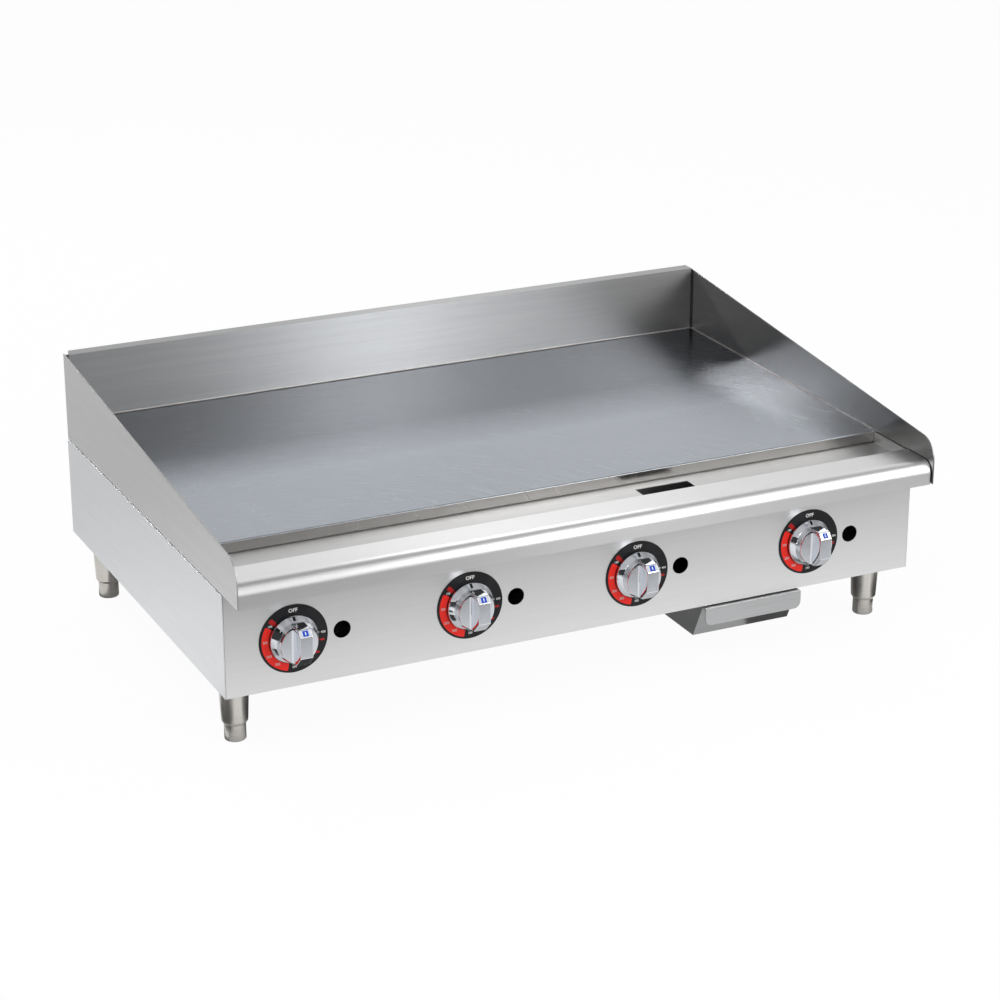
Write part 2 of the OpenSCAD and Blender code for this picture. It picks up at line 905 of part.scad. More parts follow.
module manifold_brackets() color(dark) placed()
  for (x = [knob_x(0) + bracket_lead, knob_x(3) - bracket_back])
    difference() {
      union() {
        block(
          [x, manifold_y - bracket_half, floor_z],
          [x + bracket_t, manifold_y + bracket_half, inlet_z + pipe_d / 2 + bracket_rise]
        );
        block(
          [x, manifold_y - bracket_half, floor_z],
          [x + flange_w, manifold_y + bracket_half, floor_z + bracket_t]
        );
      }
      rod_x(pipe_d / 2 + fit, x - 1, x + bracket_t + 1, manifold_y, inlet_z);
    }

// Elbow on the manifold's end, pipe to the rear and a threaded coupling
module inlet_pipe() color(dark) placed() {
  x = side_x - inlet_inset_x;
  r = pipe_d / 2;
  difference() {
    union() {
      translate([x, manifold_y, inlet_z]) sphere(r = r + 4);
      rod_x(r + 3, x - elbow_reach, x, manifold_y, inlet_z);
      rod_y(r + 3, manifold_y, manifold_y + elbow_reach, x, inlet_z);
      rod_y(r, manifold_y + 10, body_d - 10, x, inlet_z);
      rod_y(r + 4.5, body_d - inlet_l - 10, body_d, x, inlet_z);
    }
    rod_y(inlet_r, body_d - inlet_l, body_d + 1, x, inlet_z);
  }
}

module gas_tubes() color(brass) placed()
  for (i = zones) {
    x0 = knob_x(i) + outlet_dx;
    z0 = knob_z + outlet_dz;
    y0 = thermostat_rear_y + nut_l;
    y1 = elbow_y;
    bent_tube([
      [x0, y0, z0],
      [x0, y1, z0],
      [x0, y1, burner_z],
      [burner_x(i) - elbow / 2, y1, burner_z]
    ], gas_tube_r);
  }

module orifice_elbows() color(brass) placed()
  for (i = zones)
    translate([burner_x(i), elbow_y, burner_z]) {
      block([-elbow / 2, -elbow / 2, -elbow / 2], [elbow / 2, elbow / 2, elbow / 2]);
      rod_y(4, elbow / 2, mouth_y - elbow_y + 4);
    }

shutter_r = burner_d / 2 + stem_play;
shutter_t = 1.5;
shutter_hole_r = 12;

module burner(i) color("silver") placed()
  translate([burner_x(i), 0, burner_z])
    difference() {
      union() {
        rod_y(burner_d / 2, mouth_y, burner_end_y);
        rod_y(pin_r, burner_end_y, burner_end_y + pin_l);
      }
      rod_y(burner_d / 2 - burner_t, mouth_y - 1, burner_end_y - 3);
      for (s = [-1, 1])
        block(
          [s > 0 ? 4 : -burner_d, mouth_y + 4, -7],
          [s > 0 ? burner_d : -4, mouth_y + shutter_l - 4, 7]
        );
      for (j = [0 : flame_slots - 1])
        translate([-10, shield_y + 24 + j * 480 / flame_slots, burner_d / 2 - 4])
          cube([20, 2.5, 6]);
    }

// Collar with a front disc that turns on the burner's mouth to trim its air
module air_shutter(i) color("silver") placed()
  translate([burner_x(i), 0, burner_z])
    difference() {
      rod_y(shutter_r + shutter_t, mouth_y - shutter_t - fit, mouth_y + shutter_l);
      rod_y(shutter_r, mouth_y - fit, mouth_y + shutter_l + 1);
      rod_y(shutter_hole_r, mouth_y - 5, mouth_y + 1);
      for (s = [-1, 1])
        block(
          [s > 0 ? 4 : -burner_d, mouth_y + 4, -7],
          [s > 0 ? burner_d : -4, mouth_y + shutter_l - 4, 7]
        );
    }

// Standing pilots, each fed by its own tube from the manifold
pilot_head_r = 6;
pilot_head_l = 28;

module pilots() color(brass) placed()
  for (i = zones) {
    x = pilot_x(i);
    bent_tube([
      [x, manifold_y, inlet_z + pipe_d / 2],
      [x, manifold_y, pilot_z],
      [x, pilot_y, pilot_z],
      [x, pilot_y, burner_z]
    ], pilot_r);
    translate([x, pilot_y, burner_z - pilot_head_l / 2])
      cylinder(r = pilot_head_r, h = pilot_head_l);
  }

// Sensor bulbs in the plate's grooves, with their capillaries
module sensor_bulbs() color(brass) placed()
  for (i = zones) {
    x = bulb_x(i);
    z = plate_low_z + groove_w - bulb_r - fit;
    rod_y(bulb_r, bulb_y, bulb_y + bulb_l, x, z);
    bent_tube([
      [x, bulb_y + 2, z],
      [x, bulb_y - 8, z],
      [x, bulb_y - 8, capillary_z],
      [x, thermostat_rear_y + 14, capillary_z],
      [x, thermostat_rear_y + 14, capillary_low_z],
      [x, thermostat_rear_y + 6, capillary_low_z]
    ], capillary_r);
  }

// Screws that hold the back panel to the bottom panel and the back splash
module screws() color("silver") placed()
  for (i = screw_columns, z = screw_rows) {
    rod_y(screw_head_r, back_y, back_y + screw_head_t, screw_x(i), z);
    rod_y(screw_r, back_y - 6, back_y, screw_x(i), z);
  }

griddle_plate();
back_splash();
left_splash();
right_splash();
grease_trough();
front_rail();
grease_chute();
control_panel();
left_side_panel();
right_side_panel();
back_panel();
bottom_panel();
heat_shield();
plate_crossmembers();
side_supports();
burner_rest();
drawer_rails();
grease_drawer();
at_corner(-1, -1) leg();  // leg_front_left
at_corner(1, -1) leg();  // leg_front_right
at_corner(-1, 1) leg();  // leg_rear_left
at_corner(1, 1) leg();  // leg_rear_right
at_corner(-1, -1) foot();  // foot_front_left
at_corner(1, -1) foot();  // foot_front_right
at_corner(-1, 1) foot();  // foot_rear_left
at_corner(1, 1) foot();  // foot_rear_right
leg_plates();
leg_nuts();
knob(0);  // knob_1
knob(1);  // knob_2
knob(2);  // knob_3
knob(3);  // knob_4
stem(0);  // stem_1
stem(1);  // stem_2
stem(2);  // stem_3
stem(3);  // stem_4
dial(0);  // dial_1
dial(1);  // dial_2
dial(2);  // dial_3
dial(3);  // dial_4
thermostat(0);  // thermostat_1
thermostat(1);  // thermostat_2
thermostat(2);  // thermostat_3
thermostat(3);  // thermostat_4
burner(0);  // burner_1
burner(1);  // burner_2
burner(2);  // burner_3
burner(3);  // burner_4
air_shutter(0);  // air_shutter_1
air_shutter(1);  // air_shutter_2
air_shutter(2);  // air_shutter_3
air_shutter(3);  // air_shutter_4
gas_manifold();
manifold_brackets();
gas_tubes();
orifice_elbows();
inlet_pipe();
pilots();
sensor_bulbs();
screws();
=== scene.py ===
# %% [markdown]
# # A countertop gas griddle
#
# A griddle like this is a thick ground steel plate in a sheet steel box. Three
# splash guards stand round the plate, a grease trough and a round-nosed rail
# run along its front, and four thermostat knobs sit on the control panel.
# The shapes come from a CAD frame that is already to size. Blender adds what
# CAD leaves out: finishes, printed dials, polished knobs and light.

import math

import bmesh
import bpy
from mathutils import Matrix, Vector


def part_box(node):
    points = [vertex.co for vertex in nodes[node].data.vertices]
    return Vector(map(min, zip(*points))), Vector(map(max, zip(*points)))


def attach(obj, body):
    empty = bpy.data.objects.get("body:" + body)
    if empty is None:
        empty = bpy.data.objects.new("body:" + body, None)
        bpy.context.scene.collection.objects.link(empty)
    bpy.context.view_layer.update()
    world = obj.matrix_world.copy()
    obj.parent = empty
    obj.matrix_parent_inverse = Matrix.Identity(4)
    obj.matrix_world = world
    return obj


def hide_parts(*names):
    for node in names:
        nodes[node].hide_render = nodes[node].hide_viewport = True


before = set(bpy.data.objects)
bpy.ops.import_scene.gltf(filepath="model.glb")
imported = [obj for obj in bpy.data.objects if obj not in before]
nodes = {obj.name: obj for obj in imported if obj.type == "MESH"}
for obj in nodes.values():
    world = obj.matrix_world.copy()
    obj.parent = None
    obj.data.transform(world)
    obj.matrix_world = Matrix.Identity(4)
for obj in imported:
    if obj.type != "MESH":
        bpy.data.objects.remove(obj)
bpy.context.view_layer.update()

# %% [markdown]
# ## The camera
#
# Product pictures of wide, low appliances are taken from a distance with a
# long lens, so that the front stays nearly straight. The camera stands to the
# left, looks down by about 21 degrees and uses a lens of about 100 mm.

# %% Camera
CAMERA_TURN = 0.446
CAMERA_DROP = 0.369
camera_data = bpy.data.cameras.new("camera")
camera_data.lens = 99.7
camera_data.sensor_width = 36.0
camera_data.clip_end = 60.0
camera = bpy.data.objects.new("camera", camera_data)
camera.location = (-1.8711, -3.9482, 1.8921)
camera.rotation_euler = (math.pi / 2 - CAMERA_DROP, 0.0, -CAMERA_TURN)
bpy.context.scene.collection.objects.link(camera)
bpy.context.scene.camera = camera
print("camera: lens", camera_data.lens, "mm")

# %% [markdown]
# ## Tools for shader node groups
#
# Several finishes share the same effects: the fine lines of brushed sheet, the
# dull patches that cloths leave, and the grain of cast metal. Each is one node
# group with named inputs, placed by every material with its own values. A group
# only puts out masks and heights; the shader stays in the material.

# %% Helpers that make a node group and wire its nodes
def start_group(name, inputs, outputs):
    """A shader group with its named sockets; returns group, inputs and outputs."""
    group = bpy.data.node_groups.new(name, "ShaderNodeTree")
    for title, kind, value in inputs:
        socket = group.interface.new_socket(name=title, in_out="INPUT", socket_type=kind)
        socket.default_value = value
    for title, kind in outputs:
        group.interface.new_socket(name=title, in_out="OUTPUT", socket_type=kind)
    return group, group.nodes.new("NodeGroupInput"), group.nodes.new("NodeGroupOutput")


def put(tree, kind, **settings):
    """A node of that kind; keys are its properties or its input sockets' names."""
    node = tree.nodes.new(kind)
    for key, value in settings.items():
        if hasattr(node, key):
            setattr(node, key, value)
        else:
            node.inputs[key.replace("_", " ")].default_value = value
    return node


def link(output, socket):
    """Links an output to an input socket of the same tree."""
    socket.id_data.links.new(output, socket)


def feed(value, socket):
    """Sets a socket to a number, or links an output to it."""
    if isinstance(value, (int, float)):
        socket.default_value = value
    else:
        link(value, socket)


def math_node(tree, operation, *values, clamp=False):
    """A Math node; each value is a number or an output socket."""
    node = put(tree, "ShaderNodeMath", operation=operation, use_clamp=clamp)
    for value, socket in zip(values, node.inputs):
        feed(value, socket)
    return node.outputs[0]


def blend(tree, first, second, share):
    """The sum of two outputs, the second with a share and the first with the rest."""
    rest = math_node(tree, "MULTIPLY", first, 1.0 - share)
    return math_node(tree, "ADD", rest, math_node(tree, "MULTIPLY", second, share))


def noise(tree, vector, scale, detail, **settings):
    """The value of a noise texture; scale is a number or an output socket."""
    node = put(tree, "ShaderNodeTexNoise", Detail=detail, **settings)
    link(vector, node.inputs["Vector"])
    feed(scale, node.inputs["Scale"])
    return node.outputs["Fac"]


def ranged(tree, factor, low, high, value_low=0.0, value_high=1.0):
    """A number that goes from one to the other as factor goes from low to high."""
    ends = {"From_Min": low, "From_Max": high, "To_Min": value_low, "To_Max": value_high}
    node = put(tree, "ShaderNodeMapRange", **ends)
    link(factor, node.inputs["Value"])
    return node.outputs[0]


def part_of(tree, vector, axis):
    """One coordinate of a vector."""
    split = tree.nodes.new("ShaderNodeSeparateXYZ")
    link(vector, split.inputs[0])
    return split.outputs[axis]


FLOAT, VECTOR = "NodeSocketFloat", "NodeSocketVector"
PLACE = ("Vector", VECTOR, (0, 0, 0))
print("helpers for nodes: put, math_node, blend, noise, ranged")

# %% [markdown]
# ## Brushed grain
#
# Brushed sheet has thousands of hair lines along the rolling direction. They
# could be an image, but noise stretched along one axis gives the same lines at
# any size. A coarse and a fine layer keep them from looking like a comb.

# %% Group: brushed grain
COARSE_SHARE = 0.09
group, gin, gout = start_group(
    "brushed grain",
    [PLACE, ("Stretch", VECTOR, (1, 1, 1)), ("Fineness", FLOAT, 900.0)],
    [("Lines", FLOAT), ("Streaks", FLOAT)],
)
stretched = put(group, "ShaderNodeVectorMath", operation="MULTIPLY")
link(gin.outputs["Vector"], stretched.inputs[0])
link(gin.outputs["Stretch"], stretched.inputs[1])
place, size = stretched.outputs[0], gin.outputs["Fineness"]
coarser = math_node(group, "MULTIPLY", size, COARSE_SHARE)
link(noise(group, place, size, 3.0, Roughness=0.65), gout.inputs["Lines"])
link(noise(group, place, coarser, 4.0, Roughness=0.6), gout.inputs["Streaks"])
brushed_grain = group
print("group:", group.name)

# %% [markdown]
# ## Handling marks
#
# Metal in use never stays even: wiping leaves cloudy patches, and a polished
# part picks up stray scratches. A scratch is where noise crosses one half. The
# group gives a mask for each, and the material decides what it does.

# %% Group: handling marks
HAIR_SHARPNESS = 260.0
BREAK_SIZE, BREAK_ABOVE = 1.7, 0.62
group, gin, gout = start_group(
    "handling marks",
    [PLACE, ("Cloud size", FLOAT, 6.0), ("Scratch size", FLOAT, 14.0)],
    [("Cloud", FLOAT), ("Scratches", FLOAT)],
)
place, size = gin.outputs["Vector"], gin.outputs["Scratch size"]
cloud = noise(group, place, gin.outputs["Cloud size"], 5.0, Roughness=0.55, Distortion=0.6)
link(cloud, gout.inputs["Cloud"])
bent = noise(group, place, size, 2.0, Distortion=1.2)
from_middle = math_node(group, "ABSOLUTE", math_node(group, "SUBTRACT", bent, 0.5))
steep = math_node(group, "MULTIPLY", from_middle, HAIR_SHARPNESS)
hair = math_node(group, "SUBTRACT", 1.0, steep, clamp=True)
broken = noise(group, place, math_node(group, "MULTIPLY", size, BREAK_SIZE), 1.0)
some = math_node(group, "GREATER_THAN", broken, BREAK_ABOVE)
link(math_node(group, "MULTIPLY", hair, some), gout.inputs["Scratches"])
handling_marks = group
print("group:", group.name)

# %% [markdown]
# ## Grinding arcs
#
# The cooking surface is ground with a wide swinging head, which leaves long
# shallow arcs that cross. In polar coordinates that is simple: noise that
# changes fast with the distance from a far centre and slowly with the angle.
# Two centres give two sweeps, and a soft mask decides which one shows.

# %% Group: grinding arcs
SWING_CENTRES = [(-0.5, -0.5, 0.0), (1.3, 0.9, 0.0)]
SWEEP_APART = 3.7
group, gin, gout = start_group(
    "grinding arcs",
    [PLACE, ("Fineness", FLOAT, 260.0), ("Sweep", FLOAT, 3.0)],
    [("Arcs", FLOAT)],
)
sweeps = []
for number, centre in enumerate(SWING_CENTRES):
    moved = put(group, "ShaderNodeVectorMath", operation="SUBTRACT")
    link(gin.outputs["Vector"], moved.inputs[0])
    moved.inputs[1].default_value = centre
    moved = moved.outputs[0]
    far = put(group, "ShaderNodeVectorMath", operation="LENGTH")
    link(moved, far.inputs[0])
    turn = math_node(group, "ARCTAN2", part_of(group, moved, "Y"), part_of(group, moved, "X"))
    polar = put(group, "ShaderNodeCombineXYZ")
    across = math_node(group, "MULTIPLY", far.outputs["Value"], gin.outputs["Fineness"])
    link(across, polar.inputs["X"])
    link(math_node(group, "MULTIPLY", turn, gin.outputs["Sweep"]), polar.inputs["Y"])
    polar.inputs["Z"].default_value = SWEEP_APART * number
    sweeps.append(noise(group, polar.outputs[0], 1.0, 4.0, Roughness=0.7))
patches = noise(group, gin.outputs["Vector"], 2.6, 2.0)
mixed = put(group, "ShaderNodeMix")
link(ranged(group, patches, 0.42, 0.75), mixed.inputs["Factor"])
link(sweeps[0], mixed.inputs["A"])
link(sweeps[1], mixed.inputs["B"])
link(mixed.outputs["Result"], gout.inputs["Arcs"])
grinding_arcs = group
print("group:", group.name)

# %% [markdown]
# ## Cast grain
#
# Castings, varnished pipe and enamel share a fine orange-peel skin. One small
# group gives its height and a slow change of tone.

# %% Group: cast grain
group, gin, gout = start_group(
    "cast grain",
    [PLACE, ("Grain size", FLOAT, 700.0), ("Tone size", FLOAT, 25.0)],
    [("Height", FLOAT), ("Tone", FLOAT)],
)
place = gin.outputs["Vector"]
skin = noise(group, place, gin.outputs["Grain size"], 4.0, Roughness=0.6)
link(skin, gout.inputs["Height"])
link(noise(group, place, gin.outputs["Tone size"], 3.0), gout.inputs["Tone"])
cast_grain = group
print("group:", group.name)

# %% [markdown]
# ## Finishes
#
# A finish starts as a Principled shader with its constant values on its own
# sockets. What changes over the surface comes in through links: the colour
# between two tones, the roughness, and a small bump.

# %% Helpers that start a finish
finishes = {}


def start_finish(name, metallic, roughness):
    """Keeps a new material by name; returns its tree, shader and object coordinates."""
    finishes[name] = bpy.data.materials.new(name)
    finishes[name].use_nodes = True
    tree = finishes[name].node_tree
    shader = tree.nodes["Principled BSDF"]
    shader.inputs["Metallic"].default_value = metallic
    shader.inputs["Roughness"].default_value = roughness
    coords = tree.nodes.new("ShaderNodeTexCoord").outputs["Object"]
    return tree, shader, coords


def place_group(tree, group, coords, **values):
    """The node group in a material, with its own values."""
    node = tree.nodes.new("ShaderNodeGroup")
    node.node_tree = group
    link(coords, node.inputs["Vector"])
    for key, value in values.items():
        node.inputs[key.replace("_", " ")].default_value = value
    return node


def between(tree, factor, *stops):
    """A colour that follows factor through stops of (position, red, green, blue)."""
    ramp = tree.nodes.new("ShaderNodeValToRGB")
    for _ in stops[2:]:
        ramp.color_ramp.elements.new(0.5)
    for element, (position, *colour) in zip(ramp.color_ramp.elements, stops):
        element.position = position
        element.color = (*colour, 1.0)
    link(factor, ramp.inputs["Fac"])
    return ramp.outputs["Color"]


def paint(tree, shader, factor, low, high, dark, light):
    """Lets the base colour go from dark to light as factor goes from low to high."""
    link(between(tree, factor, (low, *dark), (high, *light)), shader.inputs["Base Color"])


def raise_bump(tree, shader, height, strength, distance):
    """Feeds a height into the shader's normal through a Bump node."""
    bump = tree.nodes.new("ShaderNodeBump")
    bump.inputs["Strength"].default_value = strength
    bump.inputs["Distance"].default_value = distance
    link(height, bump.inputs["Height"])
    link(bump.outputs["Normal"], shader.inputs["Normal"])


def grey(value, warm=0.0):
    """A near-neutral steel tone; warm above 0 leans to brown, below 0 to blue."""
    return (value * (1.0 + warm), value, value * (1.0 - warm))


print("helpers for finishes: a tone of steel is", grey(0.5, 0.01))

# %% [markdown]
# ## Brushed sheet steel
#
# All the folded sheets share one recipe. The grain direction is the one thing
# that has to be right: it runs along the rail and the splash guards, so the
# stretch is small along that axis and large across it. The fine lines also
# raise a slight bump. The gloss spreads far across the grain and little along
# it, which is why brushed steel draws a lamp out into a band.

# %% Finish: brushed sheet
GRAIN = 0.012


def spread_across(tree, shader, axis, amount, rotation=0.0):
    """Widens the gloss across grain that runs along an axis."""
    shader.inputs["Anisotropic"].default_value = amount
    shader.inputs["Anisotropic Rotation"].default_value = rotation
    turn = put(tree, "ShaderNodeTangent", direction_type="RADIAL", axis=axis)
    link(turn.outputs[0], shader.inputs["Tangent"])


def brushed_sheet(name, tones, roughness, axis, fineness, bump, streaks, fan):
    """Steel whose grain runs along an axis; streaks is the share of the coarse lines."""
    tree, shader, coords = start_finish(name, 1.0, roughness)
    spread_across(tree, shader, axis, fan)
    stretch = tuple(GRAIN if letter == axis else 1.0 for letter in "XYZ")
    lines = place_group(tree, brushed_grain, coords, Stretch=stretch, Fineness=fineness).outputs
    tone = blend(tree, lines["Lines"], lines["Streaks"], streaks)
    dark, light, warm = tones
    paint(tree, shader, tone, 0.36, 0.66, grey(dark, warm), grey(light, warm))
    raise_bump(tree, shader, lines["Lines"], bump, 0.0004)


SHEETS = {  # dark, light and warm; roughness, grain axis, fineness, bump, streaks, fan
    "rail_steel": ((0.70, 0.75, 0.0), 0.30, "X", 900.0, 0.02, 0.25, 0.8),
    "panel_steel": ((0.68, 0.71, 0.0), 0.37, "X", 700.0, 0.01, 0.15, 0.3),
    "side_steel": ((0.77, 0.82, -0.02), 0.42, "Y", 700.0, 0.02, 0.15, 0.8),
    # The right splash guard has darker tones, a painted shade, and the left one lighter tones, a
    # painted light; both are the same steel.
    "splash_steel": ((0.25, 0.30, 0.012), 0.24, "Y", 900.0, 0.02, 0.4, 0.95),
    "left_splash_lit_steel": ((0.55, 0.61, 0.0), 0.34, "Y", 900.0, 0.02, 0.4, 0.8),
    "back_splash_steel": ((0.35, 0.40, 0.0), 0.30, "X", 800.0, 0.02, 0.4, 0.8),
    "trough_steel": ((0.52, 0.58, 0.0), 0.42, "X", 900.0, 0.02, 0.2, 0.8),
    "drawer_steel": ((0.37, 0.42, -0.01), 0.32, "X", 900.0, 0.02, 0.2, 0.8),
    # The grease chute's tones are darker as painted shade inside the slot.
    "chute_shaded_steel": ((0.34, 0.42, 0.0), 0.42, "Z", 900.0, 0.02, 0.4, 0.8),
}
for name, values in SHEETS.items():
    brushed_sheet(name, *values)
print("sheets:", ", ".join(SHEETS))

# %% [markdown]
# ## The ground plate
#
# The plate is bare carbon steel, ground rather than brushed. It is darker and
# bluer than the sheet round it, and its arcs catch the light at different
# angles, so the arcs drive roughness as well as tone. A painted shade darkens
# the colour towards the rear of the plate. The sawn front edge has its own
# tone: a mask on the facing direction finds it.

# %% Finish: ground plate
PLATE_DARK, PLATE_LIGHT = (0.285, 0.31, 0.345), (0.38, 0.405, 0.44)
# Painted shade: towards the rear, the plate's colour is multiplied by this grey.
REAR_SHADE_GREY = (0.42, 0.425, 0.44, 1.0)
REAR_SHADE_FROM, REAR_SHADE_TO = 0.0, 0.15
SAWN_EDGE = (0.36, 0.35, 0.335, 1.0)
FACES_UP, CLOUD_SHARE = 0.3, 0.2

tree, shader, coords = start_finish("ground_steel", 1.0, 0.32)
arcs = place_group(tree, grinding_arcs, coords, Fineness=420.0, Sweep=7.0)
marks = place_group(tree, handling_marks, coords, Cloud_size=3.0)
tone = blend(tree, arcs.outputs["Arcs"], marks.outputs["Cloud"], CLOUD_SHARE)
top = between(tree, tone, (0.30, *PLATE_DARK), (0.72, *PLATE_LIGHT))
depth = part_of(tree, coords, "Y")
# Painted shade on the rear of the plate, growing with depth.
rear_shade_mix = put(tree, "ShaderNodeMix", data_type="RGBA", blend_type="MULTIPLY")
link(ranged(tree, depth, REAR_SHADE_FROM, REAR_SHADE_TO), rear_shade_mix.inputs["Factor"])
link(top, rear_shade_mix.inputs["A"])
rear_shade_mix.inputs["B"].default_value = REAR_SHADE_GREY
facing = tree.nodes.new("ShaderNodeNewGeometry").outputs["True Normal"]
is_top = math_node(tree, "GREATER_THAN", part_of(tree, facing, "Z"), FACES_UP)
mix = put(tree, "ShaderNodeMix", data_type="RGBA")
link(is_top, mix.inputs["Factor"])
mix.inputs["A"].default_value = SAWN_EDGE
link(rear_shade_mix.outputs["Result"], mix.inputs["B"])
link(mix.outputs["Result"], shader.inputs["Base Color"])
dull = ranged(tree, arcs.outputs["Arcs"], 0.35, 0.65, 0.20, 0.28)
link(dull, shader.inputs["Roughness"])
raise_bump(tree, shader, arcs.outputs["Arcs"], 0.06, 0.0005)
print("plate: tones", PLATE_DARK, "to", PLATE_LIGHT)

# %% [markdown]
# ## Polished and satin metal
#
# The knobs are polished zinc under bright chrome: nearly no roughness, and
# only the faintest wipe marks, or they would look like glass. The legs are
# satin nickel, with turning marks that run round them.

# %% Finishes: chrome and nickel
ROUND_Z = (0.02, 0.02, 1.0)


def polished(name, dark, light, low, high):
    """Polished metal between two tones and two roughnesses."""
    tree, shader, coords = start_finish(name, 1.0, low)
    marks = place_group(tree, handling_marks, coords, Cloud_size=40.0, Scratch_size=60.0)
    cloud = marks.outputs["Cloud"]
    paint(tree, shader, cloud, 0.3, 0.7, dark, light)
    link(ranged(tree, cloud, 0.35, 0.7, low, high), shader.inputs["Roughness"])
    raise_bump(tree, shader, marks.outputs["Scratches"], 0.03, 0.0002)


def turned(name, dark, light, roughness):
    """Satin metal with fine rings round Z; its gloss spreads along Z."""
    tree, shader, coords = start_finish(name, 1.0, roughness)
    spread_across(tree, shader, "Z", 0.7, 0.25)
    rings = place_group(tree, brushed_grain, coords, Stretch=ROUND_Z, Fineness=500.0)
    paint(tree, shader, rings.outputs["Lines"], 0.35, 0.65, dark, light)


polished("knob_chrome", (0.66, 0.68, 0.72), (0.72, 0.74, 0.78), 0.04, 0.08)
turned("leg_nickel", (0.58, 0.56, 0.52), (0.64, 0.62, 0.58), 0.28)
turned("foot_nickel", (0.54, 0.52, 0.49), (0.60, 0.58, 0.55), 0.26)
turned("stem_brass", (0.55, 0.40, 0.18), (0.70, 0.53, 0.26), 0.30)
print("finishes so far:", len(finishes))

# %% [markdown]
# ## Inside and underneath
#
# The parts out of sight are plainer, and many are zinc-coated sheet. Zinc
# crystals are flat patches with straight borders, which is what a Voronoi
# texture draws.

# %% Finish: zinc sheet
tree, shader, coords = start_finish("zinc_sheet", 1.0, 0.45)
crystals = put(tree, "ShaderNodeTexVoronoi", Scale=55.0, Randomness=1.0)
link(coords, crystals.inputs["Vector"])
marks = place_group(tree, handling_marks, coords, Cloud_size=9.0)
each = tree.nodes.new("ShaderNodeSeparateColor")
link(crystals.outputs["Color"], each.inputs["Color"])
mixed = blend(tree, each.outputs[0], marks.outputs["Cloud"], 0.5)
paint(tree, shader, mixed, 0.2, 0.8, grey(0.44, -0.01), grey(0.60, -0.01))
link(ranged(tree, each.outputs[0], 0.0, 1.0, 0.38, 0.55), shader.inputs["Roughness"])
raise_bump(tree, shader, marks.outputs["Cloud"], 0.05, 0.0005)
print("zinc sheet: nodes", len(tree.nodes))

# %% [markdown]
# ## Castings, tubes and enamel
#
# Black frame steel, varnished pipe, die-cast valves, drawn tubes and the dials'
# enamel differ in tone and gloss, but all have the same kind of grainy skin.

# %% Finishes: castings, tubes and enamel
def cast_finish(name, metallic, tones, roughness, grain=700.0, bump=0.2):
    """A grainy skin; tones and roughness are pairs that the slow change goes between."""
    tree, shader, coords = start_finish(name, metallic, roughness[0])
    skin = place_group(tree, cast_grain, coords, Grain_size=grain)
    slow = skin.outputs["Tone"]
    paint(tree, shader, slow, 0.3, 0.7, *tones)
    link(ranged(tree, slow, 0.3, 0.7, *roughness), shader.inputs["Roughness"])
    raise_bump(tree, shader, skin.outputs["Height"], bump, 0.0003)


CASTS = {  # metallic, two tones, two roughnesses, grain size, bump
    "frame_black": (0.0, ((0.030, 0.030, 0.032), (0.055, 0.055, 0.058)), (0.5, 0.65)),
    "pipe_black": (0.0, ((0.020, 0.020, 0.022), (0.045, 0.044, 0.043)), (0.28, 0.42), 300.0),
    "valve_cast": (1.0, (grey(0.40), grey(0.52)), (0.42, 0.55), 900.0, 0.3),
    "burner_steel": (1.0, ((0.30, 0.28, 0.26), (0.45, 0.43, 0.42)), (0.38, 0.55), 400.0, 0.1),
    "tube_aluminium": (1.0, (grey(0.66), grey(0.76)), (0.3, 0.42), 1200.0, 0.05),
    "tube_copper": (1.0, ((0.52, 0.27, 0.16), (0.70, 0.40, 0.26)), (0.28, 0.42), 1200.0, 0.05),
    "elbow_brass": (1.0, ((0.50, 0.36, 0.15), (0.66, 0.49, 0.23)), (0.32, 0.45), 900.0, 0.1),
    "dial_black": (0.0, ((0.006, 0.006, 0.007), (0.014, 0.014, 0.016)), (0.38, 0.5), 900.0, 0.04),
}
for name, values in CASTS.items():
    cast_finish(name, *values)


def dim_gloss(name, level):
    """Less mirror in a coat of enamel."""
    shader = finishes[name].node_tree.nodes["Principled BSDF"]
    shader.inputs["Specular IOR Level"].default_value = level


dim_gloss("dial_black", 0.22)
print("finishes:", len(finishes))

# %% [markdown]
# ## Dressing the frame
#
# The sheets, legs and fittings already have their real shapes in the frame, so
# they only need a finish. The table goes from a finish to every node that
# wears it.

# %% Finishes onto the frame's nodes
CORNERS = ("front_left", "front_right", "rear_left", "rear_right")
ZONES = (1, 2, 3, 4)


def numbered(stem):
    """The four nodes of one kind, one for each heating zone."""
    return [f"{stem}_{zone}" for zone in ZONES]


WEARERS = {
    "ground_steel": ["griddle_plate"],
    "back_splash_steel": ["back_splash"],
    # Painted shade on the right splash guard, painted light on the left one.
    "splash_steel": ["right_splash"],
    "left_splash_lit_steel": ["left_splash"],
    "rail_steel": ["front_rail"],
    "trough_steel": ["grease_trough"],
    "chute_shaded_steel": ["grease_chute"],
    "panel_steel": ["control_panel"],
    "side_steel": ["left_side_panel", "right_side_panel"],
    "drawer_steel": ["grease_drawer", "drawer_rails"],
    "zinc_sheet": [
        "back_panel", "bottom_panel", "heat_shield", "burner_rest", "leg_plates", "leg_nuts",
        "manifold_brackets", "screws"],
    "frame_black": ["plate_crossmembers", "side_supports"],
    "pipe_black": ["gas_manifold", "inlet_pipe"],
    "leg_nickel": [f"leg_{corner}" for corner in CORNERS],
    "foot_nickel": [f"foot_{corner}" for corner in CORNERS],
    "knob_chrome": numbered("knob"),
    "stem_brass": numbered("stem"),
    "dial_black": numbered("dial"),
    "valve_cast": numbered("thermostat"),
    "burner_steel": numbered("burner") + numbered("air_shutter"),
    "tube_aluminium": ["gas_tubes", "pilots"],
    "elbow_brass": ["orifice_elbows"],
    "tube_copper": ["sensor_bulbs"],
}
